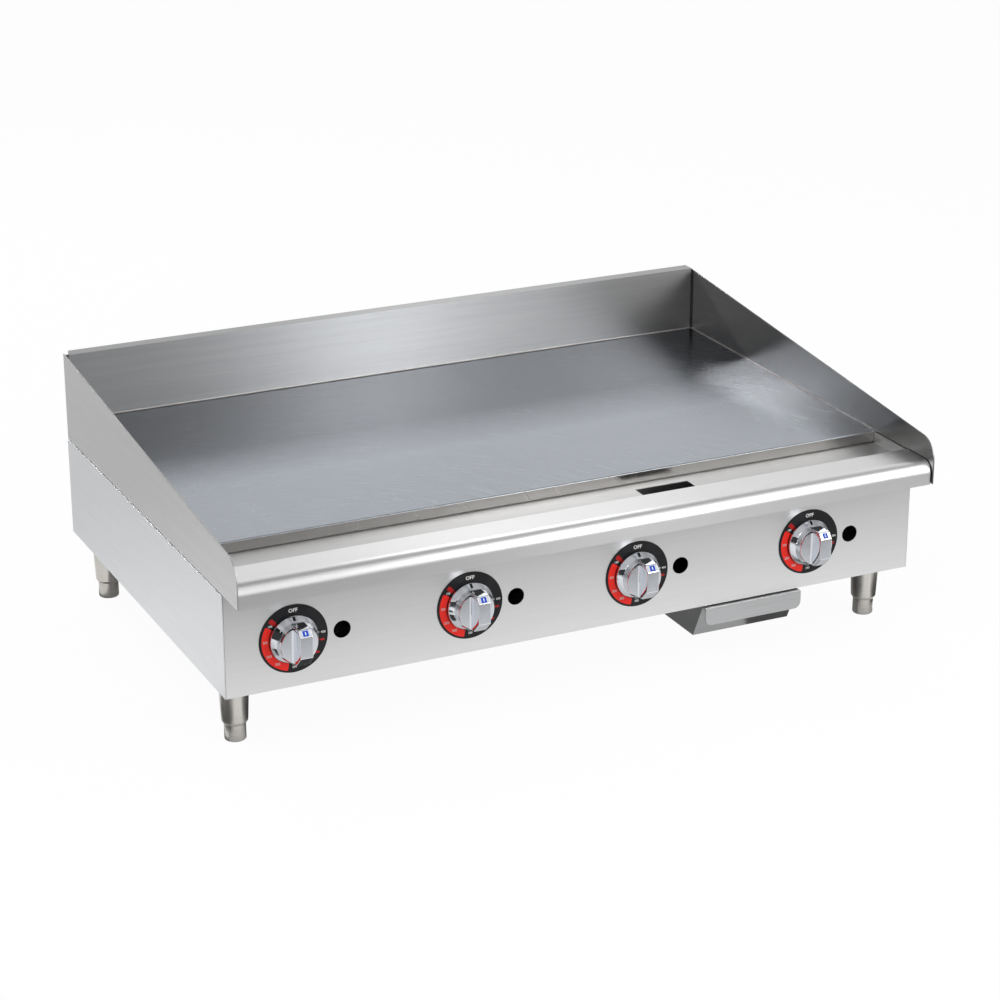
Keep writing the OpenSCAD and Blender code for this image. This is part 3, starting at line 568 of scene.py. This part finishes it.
for finish, names in WEARERS.items():
    for name in names:
        mesh = nodes[name].data
        mesh.materials.clear()
        mesh.materials.append(finishes[finish])
dressed = sum(len(names) for names in WEARERS.values())
print("dressed nodes:", dressed, "of", len(nodes))
assert dressed == len(nodes)

# %% [markdown]
# ## Softened sheet edges
#
# A sheared or folded edge is never knife sharp: it has a tiny radius that
# draws a bright line along it. The frame's edges are sharp, so a Weld modifier
# joins its faces and a narrow Bevel rounds them. Modifiers leave the frame's
# own mesh as it is.

# %% Weld and bevel on the frame
SHARP_EDGE = 35.0
SPLASH_EDGE, SHEET_EDGE = 0.0007, 0.0005


def soften(name, width):
    """Rounds the sharp edges of a node by a width in metres."""
    piece = nodes[name]
    weld = piece.modifiers.new("join faces", "WELD")
    weld.merge_threshold = 0.00002
    bevel = piece.modifiers.new("rounded edge", "BEVEL")
    bevel.width = width
    bevel.segments = 2
    bevel.limit_method = "ANGLE"
    bevel.angle_limit = math.radians(SHARP_EDGE)
    even = piece.modifiers.new("even shading", "WEIGHTED_NORMAL")
    even.mode = "FACE_AREA"
    even.weight = 100


SOFT = {
    SPLASH_EDGE: ("left_splash", "right_splash"),
    SHEET_EDGE: (
        "back_splash", "front_rail", "left_side_panel", "right_side_panel", "griddle_plate",
        "grease_trough"),
}
for width, names in SOFT.items():
    for name in names:
        soften(name, width)
print("softened nodes:", sum(len(names) for names in SOFT.values()))

# %% [markdown]
# ## Helpers for new pieces
#
# New pieces are built with bmesh, in metres, where they belong. Most of them
# are a loft: a row of rings with equally many points, joined by quads and
# closed at both ends. Each piece gets its finish and rides on its body.

# %% Helpers that turn a bmesh into a piece
MM = 0.001


def finish_piece(name, shape, material, body, sharp=SHARP_EDGE):
    """A new object from a bmesh, shaded smooth up to an angle."""
    bmesh.ops.recalc_face_normals(shape, faces=shape.faces)
    mesh = bpy.data.meshes.new(name)
    shape.to_mesh(mesh)
    shape.free()
    mesh.shade_smooth()
    mesh.set_sharp_from_angle(angle=math.radians(sharp))
    piece = bpy.data.objects.new(name, mesh)
    bpy.context.scene.collection.objects.link(piece)
    mesh.materials.append(material)
    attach(piece, body)
    return piece


def add_ring(shape, points):
    """A closed ring of vertices."""
    return [shape.verts.new(point) for point in points]


def join_rings(shape, first, second):
    """Quads between two rings of the same length."""
    count = len(first)
    for i in range(count):
        j = (i + 1) % count
        shape.faces.new((first[i], first[j], second[j], second[i]))


def add_loft(shape, sections):
    """A closed skin over a row of sections, with a face at each end."""
    rings = [add_ring(shape, section) for section in sections]
    for first, second in zip(rings, rings[1:]):
        join_rings(shape, first, second)
    shape.faces.new(rings[0])
    shape.faces.new(rings[-1])


def corner_arc(corner, back, ahead, radius, steps):
    """Points of the arc that rounds a corner between two unit directions."""
    half = back.angle(ahead) / 2
    reach = radius / math.tan(half)
    middle = corner + (back + ahead).normalized() * (radius / math.sin(half))
    start, end = corner + back * reach - middle, corner + ahead * reach - middle
    arms = (start.lerp(end, step / steps) for step in range(steps + 1))
    return [middle + arm.normalized() * radius for arm in arms]


def rounded(points, radius, steps):
    """A 2D outline whose corners are replaced by short arcs."""
    result = []
    for i, point in enumerate(points):
        here = Vector(point)
        back = (Vector(points[i - 1]) - here).normalized()
        ahead = (Vector(points[(i + 1) % len(points)]) - here).normalized()
        result += [tuple(spot) for spot in corner_arc(here, back, ahead, radius, steps)]
    return result


# %% [markdown]
# ## The knobs
#
# Each knob is one casting: a skirt in two cones, a round cap with a finger
# scoop down each side, and an upright grip bar between the scoops. Knobs and
# dials are placed from the frame's own boxes, so they follow the model. The
# skirt is a lathe shape: one outline, turned round the knob's axis.

# %% Measures of the control panel
control_centres = []
for zone in ZONES:
    low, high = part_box(f"dial_{zone}")
    control_centres.append(((low.x + high.x) / 2, (low.z + high.z) / 2))
DIAL_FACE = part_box("dial_1")[0].y
KNOB_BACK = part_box("knob_1")[1].y
print("control centres (m):", [(round(x, 4), round(z, 4)) for x, z in control_centres])

# %% Skirt
SKIRT = [
    (9.0, 4.0), (31.0, 4.0), (31.6, 0.6), (39.2, 0.0), (39.8, 0.3), (40.0, 1.0), (40.0, 3.6),
    (39.8, 4.4), (39.3, 5.4), (35.0, 11.7), (34.2, 12.7), (33.4, 13.5), (31.0, 19.2),
    (30.3, 20.8), (29.8, 21.6), (29.0, 22.1), (27.0, 22.2), (12.0, 22.2), (0.5, 22.2),
]
KNOB_STEPS = 96


def on_knob(x, z, across, up, out):
    """A point on a knob: across, up and out of its back, in mm."""
    return (x + across * MM, KNOB_BACK - out * MM, z + up * MM)


def add_skirt(shape, x, z):
    """The skirt's outline of (radius, out), turned round the knob's axis."""
    turns = [2 * math.pi * step / KNOB_STEPS for step in range(KNOB_STEPS)]
    add_loft(shape, [
        [on_knob(x, z, radius * math.sin(t), radius * math.cos(t), out) for t in turns]
        for radius, out in SKIRT
    ])


print("skirt:", len(SKIRT), "rings of", KNOB_STEPS)

# %% [markdown]
# ## Cap and grip bar
#
# Cap and bar are a loft of level sections. The bar's side outline gives the
# height of its face at every level, and the cap's circle gives the width. Every
# edge is rounded a little, because a polished edge shows as a thin bright line.

# %% Outline of cap and bar
CAP_R, CAP_FOOT = 30.0, 18.0
BAR_SIDE = [
    (-29.2, 16.0), (-29.2, 34.0), (-11.2, 52.6), (23.4, 52.6), (33.5, 45.0), (33.5, 10.0),
]
BAR_HALF, BAR_EDGE, RIM_EDGE = 10.2, 1.1, 0.7
BAR_CORNER, BAR_CORNER_STEPS = 2.4, 6
FACE_ABOVE = 30.0
side = rounded(BAR_SIDE, BAR_CORNER, BAR_CORNER_STEPS)
OUTLINE = sorted(point for point in side if point[1] > FACE_ABOVE)


def face_out(up):
    """How far out the bar's face stands at a height up the knob."""
    for (up_a, out_a), (up_b, out_b) in zip(OUTLINE, OUTLINE[1:]):
        if up_a <= up <= up_b and up_b > up_a:
            return out_a + (out_b - out_a) * (up - up_a) / (up_b - up_a)
    return OUTLINE[0][1] if up < OUTLINE[0][0] else OUTLINE[-1][1]


def wall_across(up):
    """Half the width of the cap at a height: its circle, or the bar's end above it."""
    circle = math.sqrt(max(0.0, CAP_R ** 2 - up ** 2))
    past = max(0.0, up - (BAR_SIDE[4][0] - BAR_EDGE))
    end = BAR_HALF - BAR_EDGE + math.sqrt(max(0.0, BAR_EDGE ** 2 - past ** 2))
    return max(circle, end) if up > 0 else circle


print("bar: face", round(face_out(0.0), 1), "mm out, cap", wall_across(0.0), "mm each side")

# %% [markdown]
# ## The finger scoop
#
# Seen from the end, the scoop is one line: a shallow floor from the rim, a
# fillet, and the bar's flank with a little draft. A section uses the part of
# the line between its own wall and its own face, found by halving steps.

# %% Scoop
SCOOP = [(30.0, 23.4), (11.1, 26.2), (BAR_HALF, BAR_SIDE[2][1])]
SCOOP_FILLET, FILLET_STEPS = 5.0, 16
HALVINGS = 30

rim, corner, top = (Vector(point) for point in SCOOP)
fillet = corner_arc(
    corner, (rim - corner).normalized(), (top - corner).normalized(), SCOOP_FILLET, FILLET_STEPS)
SCOOP_LINE = [rim, *fillet, top]
SCOOP_AT = [0.0]
for low, high in zip(SCOOP_LINE, SCOOP_LINE[1:]):
    SCOOP_AT.append(SCOOP_AT[-1] + (high - low).length)


def on_scoop(at):
    """The point of the scoop's line at a length from the rim."""
    for i, end in enumerate(SCOOP_AT[1:]):
        if at <= end:
            share = max(0.0, at - SCOOP_AT[i]) / (end - SCOOP_AT[i])
            return SCOOP_LINE[i].lerp(SCOOP_LINE[i + 1], share)
    return SCOOP_LINE[-1].copy()


def scoop_length(axis, value):
    """The length along the scoop's line at which across (0) or out (1) has a value."""
    low, high = 0.0, SCOOP_AT[-1]
    for _ in range(HALVINGS):
        middle = (low + high) / 2
        past = on_scoop(middle)[axis] > value if axis else on_scoop(middle)[axis] < value
        low, high = (low, middle) if past else (middle, high)
    return low


print("scoop line:", round(SCOOP_AT[-1], 1), "mm")

# %% [markdown]
# ## Sections of the knob
#
# A level section goes up the cap's wall, over a low rim, along the hollow scoop
# to the bar's flank, and across its flat face. One half is made and mirrored.
# A few extra levels follow the quick change at the bar's upper end.

# %% Knob castings
SECTION_STEPS = 18
END_LEVELS = [28.2, 28.3, 32.5, 32.8, 33.1, 33.3]
LEAST_RISE = 0.02


def eased(start, corner, end, steps=4):
    """A rounded corner: a short curve from start to end, pulled to the corner."""
    shares = [i / steps for i in range(steps + 1)]
    return [start * (1 - t) ** 2 + corner * 2 * t * (1 - t) + end * t ** 2 for t in shares]


def half_section(up):
    """The right half of a level section: wall, rim, scoop and the edge of the face."""
    wall, face = wall_across(up), face_out(up)
    at_face, at_edge = scoop_length(1, face), scoop_length(1, face - BAR_EDGE)
    at_rim = max(0.0, min(scoop_length(0, wall), at_edge - 2 * RIM_EDGE))

    def clipped(at):
        point = on_scoop(at)
        return Vector((min(wall, point.x), point.y))

    rim, flank = clipped(at_rim), clipped(at_face)
    inner = at_rim + RIM_EDGE
    rise = (at_edge - inner) / SECTION_STEPS
    points = [Vector((wall, CAP_FOOT))]
    points += eased(rim - Vector((0, RIM_EDGE)), rim, clipped(inner))
    points += [clipped(inner + rise * step) for step in range(1, SECTION_STEPS)]
    points += eased(clipped(at_edge), flank, Vector((flank.x - BAR_EDGE, face)))
    return points


def add_cap(shape, x, z):
    """Level sections of cap and bar from the lower end to the upper one."""
    levels = [CAP_R * math.sin(math.radians(turn)) for turn in range(-76, 70, 3)]
    levels += [point[0] for point in OUTLINE] + END_LEVELS
    before, sections = -math.inf, []
    for up in sorted(levels):
        if up - before < LEAST_RISE:
            continue
        before = up
        half = half_section(up)
        section = [(p.x, p.y) for p in half] + [(-p.x, p.y) for p in reversed(half)]
        sections.append([on_knob(x, z, across, up, out) for across, out in section])
    add_loft(shape, sections)


for zone, (x, z) in zip(ZONES, control_centres):
    shape = bmesh.new()
    add_skirt(shape, x, z)
    add_cap(shape, x, z)
    name, body = f"knob_casting_{zone}", f"control_{zone}"
    knob = finish_piece(name, shape, finishes["knob_chrome"], body, 28.0)
    even = knob.modifiers.new("even shading", "WEIGHTED_NORMAL")
    even.keep_sharp = True
    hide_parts(f"knob_{zone}")
print("knobs: vertices each", len(knob.data.vertices))

# %% [markdown]
# ## Marks on the knobs
#
# A black line on the skirt points at the dial, and the sloping end of the grip
# bar carries a small painted pointer on a blue square. All are enamel fills, so
# they are thin plates that stand less than a quarter of a millimetre proud.

# %% Enamels
def enamel(name, colour, roughness=0.4):
    """A print of one colour, a little darker here and there."""
    darker = tuple(c * 0.9 for c in colour)
    cast_finish(name, 0.0, (darker, colour), (roughness, roughness + 0.12), 900.0, 0.03)
    dim_gloss(name, 0.2)
    return finishes[name]


ENAMELS = {
    "black": ((0.012, 0.012, 0.014), 0.3),
    "blue": ((0.004, 0.065, 0.50), 0.3),
    "white": ((0.82, 0.82, 0.80),),
    "red": ((0.80, 0.018, 0.010),),
    "maroon": ((0.42, 0.010, 0.008),),
    "grey": ((0.50, 0.46, 0.45),),
}
inks = {ink: enamel(f"enamel_{ink}", *values) for ink, values in ENAMELS.items()}
print("enamels:", ", ".join(inks))

# %% [markdown]
# ## Badge, pointer and index
#
# Badge and pointer are plates on the bar's upper slope, given by half their
# width and by where they end between its crest, 0, and its end, 1. The index
# follows the round cone of the skirt, so it is a bent strip, half sunk in it.

# %% Badge, pointer and index
BADGE, BADGE_LIFT = (4.5, 0.14, 0.86), 0.00012
POINTER, POINTER_LIFT = (0.8, 0.30, 0.70), 0.0002
INDEX_ACROSS, INDEX_ENDS = (-4.6, -3.2, -1.8, -0.4), ((39.5, 5.0), (34.9, 11.9))
INDEX_LIFTS, CONE_LEAN = (-0.3, 0.15), 0.6


def add_slope_plate(shape, x, z, half, near, far, lift):
    """A thin closed plate on the bar's upper slope, lifted along its normal."""
    (up_a, out_a), (up_b, out_b) = BAR_SIDE[3], BAR_SIDE[4]
    corners = [
        Vector(on_knob(x, z, across, up_a + (up_b - up_a) * at, out_a + (out_b - out_a) * at))
        for across, at in ((-half, far), (half, far), (half, near), (-half, near))
    ]
    normal = (corners[1] - corners[0]).cross(corners[2] - corners[0]).normalized()
    if normal.y > 0:
        normal = -normal
    add_loft(shape, [corners, [corner + normal * lift for corner in corners]])


def add_index(shape, x, z):
    """A strip along the skirt's cone, from its foot to its top."""
    bands = []
    for lift in INDEX_LIFTS:
        for end_radius, out in INDEX_ENDS:
            radius = end_radius + lift
            bands.append(add_ring(shape, [
                on_knob(x, z, a, math.sqrt(radius ** 2 - a ** 2), out + lift * CONE_LEAN)
                for a in INDEX_ACROSS
            ]))
    low_foot, low_top, high_foot, high_top = bands
    join_rings(shape, low_foot + low_top[::-1], high_foot + high_top[::-1])
    for first, second in ((low_foot, low_top), (high_foot, high_top)):
        for i in range(len(INDEX_ACROSS) - 1):
            shape.faces.new((first[i], first[i + 1], second[i + 1], second[i]))


MARKS = [
    ("knob_badge", "blue", add_slope_plate, (*BADGE, BADGE_LIFT)),
    ("knob_pointer", "white", add_slope_plate, (*POINTER, POINTER_LIFT)),
    ("knob_index", "black", add_index, ()),
]
for zone, (x, z) in zip(ZONES, control_centres):
    for stem, ink, add_mark, measures in MARKS:
        shape = bmesh.new()
        add_mark(shape, x, z, *measures)
        finish_piece(f"{stem}_{zone}", shape, inks[ink], f"control_{zone}")
print("marks on each knob:", len(MARKS))

# %% [markdown]
# ## The dials
#
# Each dial is a black enamelled ring with a printed scale. The hot range is a
# red band on the left that starts with a short dark stretch. Print is a film of
# ink, so a band is a flat sector a few hundredths of a millimetre thick, with
# rounded corners. Angles are counted from the top, to the left, as the knob
# turns.

# %% Red band
INK = 0.00006
BAND_INNER, BAND_OUTER, BAND_CORNER = 40.6, 52.4, 2.0
BANDS = {"maroon": (41.5, 50.5), "red": (59.5, 168.0)}
BAND_STEPS = 48


def dial_point(x, z, radius, angle, lift):
    """A point over a dial's face: radius in mm, angle in degrees, lift in metres."""
    turn = math.radians(angle)
    return (x - radius * MM * math.sin(turn), DIAL_FACE - lift, z + radius * MM * math.cos(turn))


def add_band(shape, x, z, start, end):
    """A closed flat sector of a ring on the dial, with rounded corners."""
    sections = []
    for step in range(BAND_STEPS + 1):
        angle = start + (end - start) * 0.5 * (1 - math.cos(math.pi * step / BAND_STEPS))
        to_end = math.radians(min(angle - start, end - angle)) * BAND_INNER
        short = BAND_CORNER - min(BAND_CORNER, to_end)
        drawn = BAND_CORNER - math.sqrt(BAND_CORNER ** 2 - short ** 2)
        inner, outer = BAND_INNER + drawn, BAND_OUTER - drawn
        sides = ((inner, 0.0), (outer, 0.0), (outer, INK), (inner, INK))
        sections.append([dial_point(x, z, radius, angle, lift) for radius, lift in sides])
    add_loft(shape, sections)


for zone, (x, z) in zip(ZONES, control_centres):
    for ink, angles in BANDS.items():
        shape = bmesh.new()
        add_band(shape, x, z, *angles)
        finish_piece(f"dial_band_{ink}_{zone}", shape, inks[ink], "griddle")
print("bands on each dial:", len(BANDS))

# %% [markdown]
# ## Numbers on the dials
#
# The scale has plain numbers every so many degrees. Type comes from Blender's
# own font as a curve with a little thickness, and larger words are drawn a bit
# bolder. Each word becomes a mesh, and the words of one ink are one piece.

# %% Numbers
TYPE_SCALE = 1.38
THIN_AT, BOLDER = 2.6, 0.05


def printed_words(name, words, x, z, material, lift):
    """Words as one thin mesh: each is (text, radius, angle, height in mm)."""
    shape = bmesh.new()
    for text, radius, angle, height in words:
        curve = bpy.data.curves.new("type", "FONT")
        curve.body = text
        curve.align_x = "CENTER"
        curve.align_y = "CENTER"
        curve.size = height * TYPE_SCALE * MM
        curve.extrude = INK / 2
        curve.offset = (height - THIN_AT) * BOLDER * MM
        curve.resolution_u = 3
        holder = bpy.data.objects.new("type", curve)
        bpy.context.scene.collection.objects.link(holder)
        holder.rotation_euler = (math.pi / 2, 0.0, 0.0)
        holder.location = dial_point(x, z, radius, angle, lift)
        bpy.context.view_layer.update()
        mesh = bpy.data.meshes.new_from_object(holder)
        mesh.transform(holder.matrix_world)
        shape.from_mesh(mesh)
        bpy.data.objects.remove(holder)
        bpy.data.meshes.remove(mesh)
        bpy.data.curves.remove(curve)
    finish_piece(name, shape, material, "griddle")


WHITE_WORDS = [
    ("OFF", 46.6, 0.0, 6.2), ("150", 46.2, 55.0, 3.6), ("350", 46.6, 180.0, 3.6),
    ("450", 48.2, 273.0, 3.6),
]
BAND_WORDS = [("200", 46.4, 88.0, 3.8), ("250", 46.4, 119.0, 4.2), ("300", 46.4, 144.0, 4.2)]
RED_WORDS = [("400", 47.4, 232.0, 3.6), ("425", 47.4, 258.0, 3.6)]
for zone, (x, z) in zip(ZONES, control_centres):
    printed_words(f"dial_white_print_{zone}", WHITE_WORDS, x, z, inks["white"], INK)
    printed_words(f"dial_band_print_{zone}", BAND_WORDS, x, z, inks["grey"], INK * 2)
    printed_words(f"dial_red_print_{zone}", RED_WORDS, x, z, inks["red"], INK)
print("dials: printed words each", len(WHITE_WORDS + BAND_WORDS + RED_WORDS))

# %% [markdown]
# ## Weld beads round the plate
#
# The splash guards are welded to the plate, and the weld is ground to a small
# smooth fillet so that no food lodges there. A fillet is a strip with two legs
# against the steel and a hollow face that shows. Its size wavers a little, as
# the grinding hand did.

# %% Weld beads
WELD, WELD_STEPS, HOLLOW_STEPS = 2.2 * MM, 60, 4


def add_weld(shape, start, end, into):
    """A ground fillet from start to end; into points from the corner over the plate."""
    start, end, into = Vector(start), Vector(end), Vector(into)
    sections = []
    for step in range(WELD_STEPS + 1):
        at = start.lerp(end, step / WELD_STEPS)
        size = WELD * (1.0 + 0.10 * math.sin(step * 2.4) + 0.06 * math.sin(step * 5.1))
        section = [at]
        for arm in range(HOLLOW_STEPS + 1):
            turn = math.pi / 2 * arm / HOLLOW_STEPS
            rise = Vector((0, 0, size * (1 - math.cos(turn))))
            section.append(at + into * size * (1 - math.sin(turn)) + rise)
        sections.append(section)
    add_loft(shape, sections)


shape = bmesh.new()
plate_low, plate_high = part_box("griddle_plate")
left, right = plate_low.x, plate_high.x
front, rear, top = plate_low.y + 2 * MM, plate_high.y, plate_high.z
add_weld(shape, (left, front, top), (left, rear, top), (1, 0, 0))
add_weld(shape, (right, front, top), (right, rear, top), (-1, 0, 0))
add_weld(shape, (left + 3 * MM, rear, top), (right - 3 * MM, rear, top), (0, -1, 0))
turned("weld_steel", (0.28, 0.27, 0.26), (0.42, 0.41, 0.40), 0.38)
steel = finishes["weld_steel"]
weld = finish_piece("plate_weld", shape, steel, "griddle", 50.0)
print("weld:", len(weld.data.polygons), "faces")

# %% [markdown]
# ## Screws in the back
#
# The back panel hangs on pan-head screws. A real head is a low dome with a
# cross recess. The dome is a lathe shape again, and its last ring sinks into
# the head, deeper along the arms of the cross.

# %% Pan-head screws
HEAD_R, HEAD_T, HEAD_STEPS = 4.4, 2.1, 32
DOME = [
    (HEAD_R, 0.0), (HEAD_R, 0.7), (4.2, 1.2), (3.6, 1.7), (2.9, HEAD_T - 0.15),
    (2.6, HEAD_T - 0.08),
]
ARM, MIDDLE, ARM_WIDTH = (2.1, 0.7), (0.75, HEAD_T - 1.1), 0.25
COLUMNS, INSET = 5, 4.5 * MM


def add_screw(shape, x, z, face_y):
    """A domed head that stands out along +Y, with a cross-shaped recess."""
    turns = [2 * math.pi * step / HEAD_STEPS for step in range(HEAD_STEPS)]

    def on_head(turn, radius, out):
        reach = radius * MM
        return (x + reach * math.cos(turn), face_y + out * MM, z + reach * math.sin(turn))

    def recess(turn):
        in_arm = min(abs(math.sin(turn)), abs(math.cos(turn))) < ARM_WIDTH
        return on_head(turn, *(ARM if in_arm else MIDDLE))

    rings = [[on_head(turn, *ring) for turn in turns] for ring in DOME]
    add_loft(shape, rings + [[recess(turn) for turn in turns]])


shape = bmesh.new()
screw_low, screw_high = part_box("screws")
screw_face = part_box("back_panel")[1].y
span = screw_high.x - screw_low.x - 2 * INSET
for column in range(COLUMNS):
    for row in (screw_low.z + INSET, screw_high.z - INSET):
        x = screw_low.x + INSET + span * column / (COLUMNS - 1)
        add_screw(shape, x, row, screw_face)
turned("screw_zinc", grey(0.50), grey(0.64), 0.3)
zinc = finishes["screw_zinc"]
screws = finish_piece("back_screws", shape, zinc, "griddle", 30.0)
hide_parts("screws")
print("screws:", len(screws.data.polygons), "faces")

# %% [markdown]
# ## Floor
#
# Steel shows what stands round it more than its own colour. The floor has to
# look white to the camera and in the steel, whatever shadow falls on it, so it
# glows for those rays and is a matt surface otherwise.

# %% Floor
FLOOR_HALF, FLOOR_SEEN = 14, 0.955


def seen_directly(tree):
    """One for rays from the camera, a reflection or a clear surface, else zero."""
    path = tree.nodes.new("ShaderNodeLightPath").outputs
    either = math_node(tree, "MAXIMUM", path["Is Camera Ray"], path["Is Glossy Ray"])
    return math_node(tree, "MAXIMUM", either, path["Is Transmission Ray"])


def bare_material(name):
    """A material with only an output; returns it, its tree and the output's socket."""
    material = bpy.data.materials.new(name)
    material.use_nodes = True
    tree = material.node_tree
    tree.nodes.clear()
    return material, tree, tree.nodes.new("ShaderNodeOutputMaterial").inputs["Surface"]


def lit_white(name, seen):
    """White for the camera and for reflections; a plain matt surface otherwise."""
    material, tree, surface = bare_material(name)
    matt = put(tree, "ShaderNodeBsdfDiffuse", Color=(0.86, 0.86, 0.86, 1.0))
    glow = tree.nodes.new("ShaderNodeEmission")
    mix = tree.nodes.new("ShaderNodeMixShader")
    link(math_node(tree, "MULTIPLY", seen_directly(tree), seen), mix.inputs["Fac"])
    link(matt.outputs[0], mix.inputs[1])
    link(glow.outputs[0], mix.inputs[2])
    link(mix.outputs[0], surface)
    return material


def flat_card(name, corners, material, shown=True):
    """A flat four-cornered card that belongs to the studio."""
    mesh = bpy.data.meshes.new(name)
    mesh.from_pydata(corners, [], [(0, 1, 2, 3)])
    mesh.materials.append(material)
    card = bpy.data.objects.new(name, mesh)
    bpy.context.scene.collection.objects.link(card)
    card.visible_camera = shown
    return card


floor = [(x * FLOOR_HALF, y * FLOOR_HALF, 0) for x, y in ((-1, -1), (1, -1), (1, 1), (-1, 1))]
flat_card("floor", floor, lit_white("floor_white", FLOOR_SEEN))
print("floor (m):", 2 * FLOOR_HALF)

# %% [markdown]
# ## World
#
# The room is white as well. It is full white where it is seen, and weaker as a
# source of light, so that the lamps keep the shading.

# %% World
ROOM_FILL = 0.62
world = bpy.data.worlds.new("white room")
bpy.context.scene.world = world
world.use_nodes = True
tree = world.node_tree
room = tree.nodes["Background"].inputs
room["Color"].default_value = (1.0, 1.0, 1.0, 1.0)
link(ranged(tree, seen_directly(tree), 0.0, 1.0, ROOM_FILL, 1.0), room["Strength"])
print("world:", world.name, "with fill", ROOM_FILL)

# %% [markdown]
# ## Cards
#
# In an all white room polished steel looks like paper. A photographer puts
# black flags out of view, whose reflections draw dark lines. Only glossy
# surfaces see these cards, so they throw no shadow. Some lie on the floor and
# darken what the low parts mirror.

# %% Cards that only glossy surfaces see
JUST_OVER_FLOOR = 0.001


def tone_card(name, corners, level):
    """A card of an even grey that the camera and matt surfaces don't see."""
    material, tree, surface = bare_material(name)
    tone = put(tree, "ShaderNodeEmission", Color=(level, level, level, 1.0))
    link(tone.outputs[0], surface)
    card = flat_card(name, corners, material, shown=False)
    card.visible_diffuse = False
    card.visible_shadow = False
    return card


def level_card(name, x0, x1, y0, y1, z, level):
    """A card that lies level at a height."""
    return tone_card(name, [(x0, y0, z), (x1, y0, z), (x1, y1, z), (x0, y1, z)], level)


def side_card(name, x, y0, y1, z0, z1, level):
    """A card that stands across X."""
    tone_card(name, [(x, y0, z0), (x, y1, z0), (x, y1, z1), (x, y0, z1)], level)


def floor_tones(name, x0, x1, stops):
    """A card on the floor whose grey changes with Y; stops are (y, grey), front to rear."""
    low, high = stops[0][0], stops[-1][0]
    card = level_card(name, x0, x1, low, high, JUST_OVER_FLOOR, 1.0)
    tree = card.data.materials[0].node_tree
    place = tree.nodes.new("ShaderNodeTexCoord").outputs["Object"]
    along = ranged(tree, part_of(tree, place, "Y"), low, high)
    ramp = between(tree, along, *(((y - low) / (high - low), *grey(level)) for y, level in stops))
    link(ramp, tree.nodes["Emission"].inputs["Color"])


FRONT_TONES = [(-8.0, 0.30), (-1.02, 0.08), (-0.62, 1.0), (-0.40, 1.0), (-0.29, 0.50)]
LEFT_TONES = [(-0.29, 1.0), (0.20, 1.0), (0.80, 0.68), (3.0, 0.68)]
level_card("shade under the body", -0.60, 0.60, -0.29, 0.38, JUST_OVER_FLOOR, 0.22)
floor_tones("shade in front", -3.0, 4.0, FRONT_TONES)
floor_tones("shade at the left", -3.0, -0.62, LEFT_TONES)
for name, x, y, sides in (
    ("front left", -0.56, -0.28, ("right", "left")),
    ("front right", 0.56, -0.28, ("right", "left")),
    ("rear left", -0.56, 0.33, ("right",)),
):
    for side in sides:
        near, far = (0.06, 0.22) if side == "right" else (-0.22, -0.06)
        level_card(f"{side} shade {name}", x + near, x + far, y - 0.12, y + 0.12, 0.002, 0.05)
level_card("high flag", -1.0, 4.0, -1.5, 0.4, 3.0, 0.22)
level_card("black flag", -2.2, -0.7, -1.3, -0.4, 1.6, 0.01)
side_card("left flag", -2.6, -1.1, 0.3, 1.2, 2.2, 0.02)
side_card("left wall", -4.0, -3.4, 0.8, 0.0, 2.2, 0.05)
side_card("right wall", 4.6, -3.0, 1.6, 0.0, 2.2, 0.05)
tone_card("rear flag", [(-4, 3.3, 0.6), (0.2, 3.3, 0.6), (0.2, 3.3, 6), (-4, 3.3, 6)], 0.02)
print("materials with the studio:", len(bpy.data.materials))

# %% [markdown]
# ## Lamps
#
# A large soft box from the left gives the shape. The narrow ones are for the
# steel: brushed sheet draws a small lamp out across its grain, and a lamp low
# in front lights the panel and the knobs.

# %% Lamps
def lamp(name, place, aim, size, power):
    """A soft rectangular lamp at a place, turned to a point, out of the camera's sight."""
    data = bpy.data.lights.new(name, "AREA")
    data.shape = "RECTANGLE"
    data.size, data.size_y = size
    data.energy = power
    piece = bpy.data.objects.new(name, data)
    piece.location = place
    piece.rotation_euler = (Vector(aim) - Vector(place)).to_track_quat("-Z", "Y").to_euler()
    piece.visible_camera = False
    bpy.context.scene.collection.objects.link(piece)


lamp("soft box", (-2.2, -1.6, 3.6), (0.0, 0.0, 0.3), (2.4, 2.4), 60.0)
lamp("right box", (3.2, -2.4, 2.4), (0.0, 0.0, 0.3), (1.6, 2.2), 20.0)
lamp("front strip", (1.40, -3.1, 1.4), (-0.1, -0.3, 0.3), (0.30, 2.0), 22.0)
lamp("second strip", (2.50, -3.3, 1.6), (0.4, 0.0, 0.4), (0.40, 1.5), 14.0)
lamp("front wide", (1.0, -3.6, 0.9), (0.0, 0.0, 0.3), (4.0, 1.6), 7.0)
lamp("top strip", (1.07, 1.25, 2.55), (-0.1, -0.3, 0.3), (0.8, 0.3), 5.0)
lamp("rear lamp", (-0.95, 3.22, 2.0), (0.6, 0.1, 0.37), (0.18, 0.18), 19.0)
view_settings = bpy.context.scene.view_settings
view_settings.view_transform = "Standard"
print("lamps:", len(bpy.data.lights))
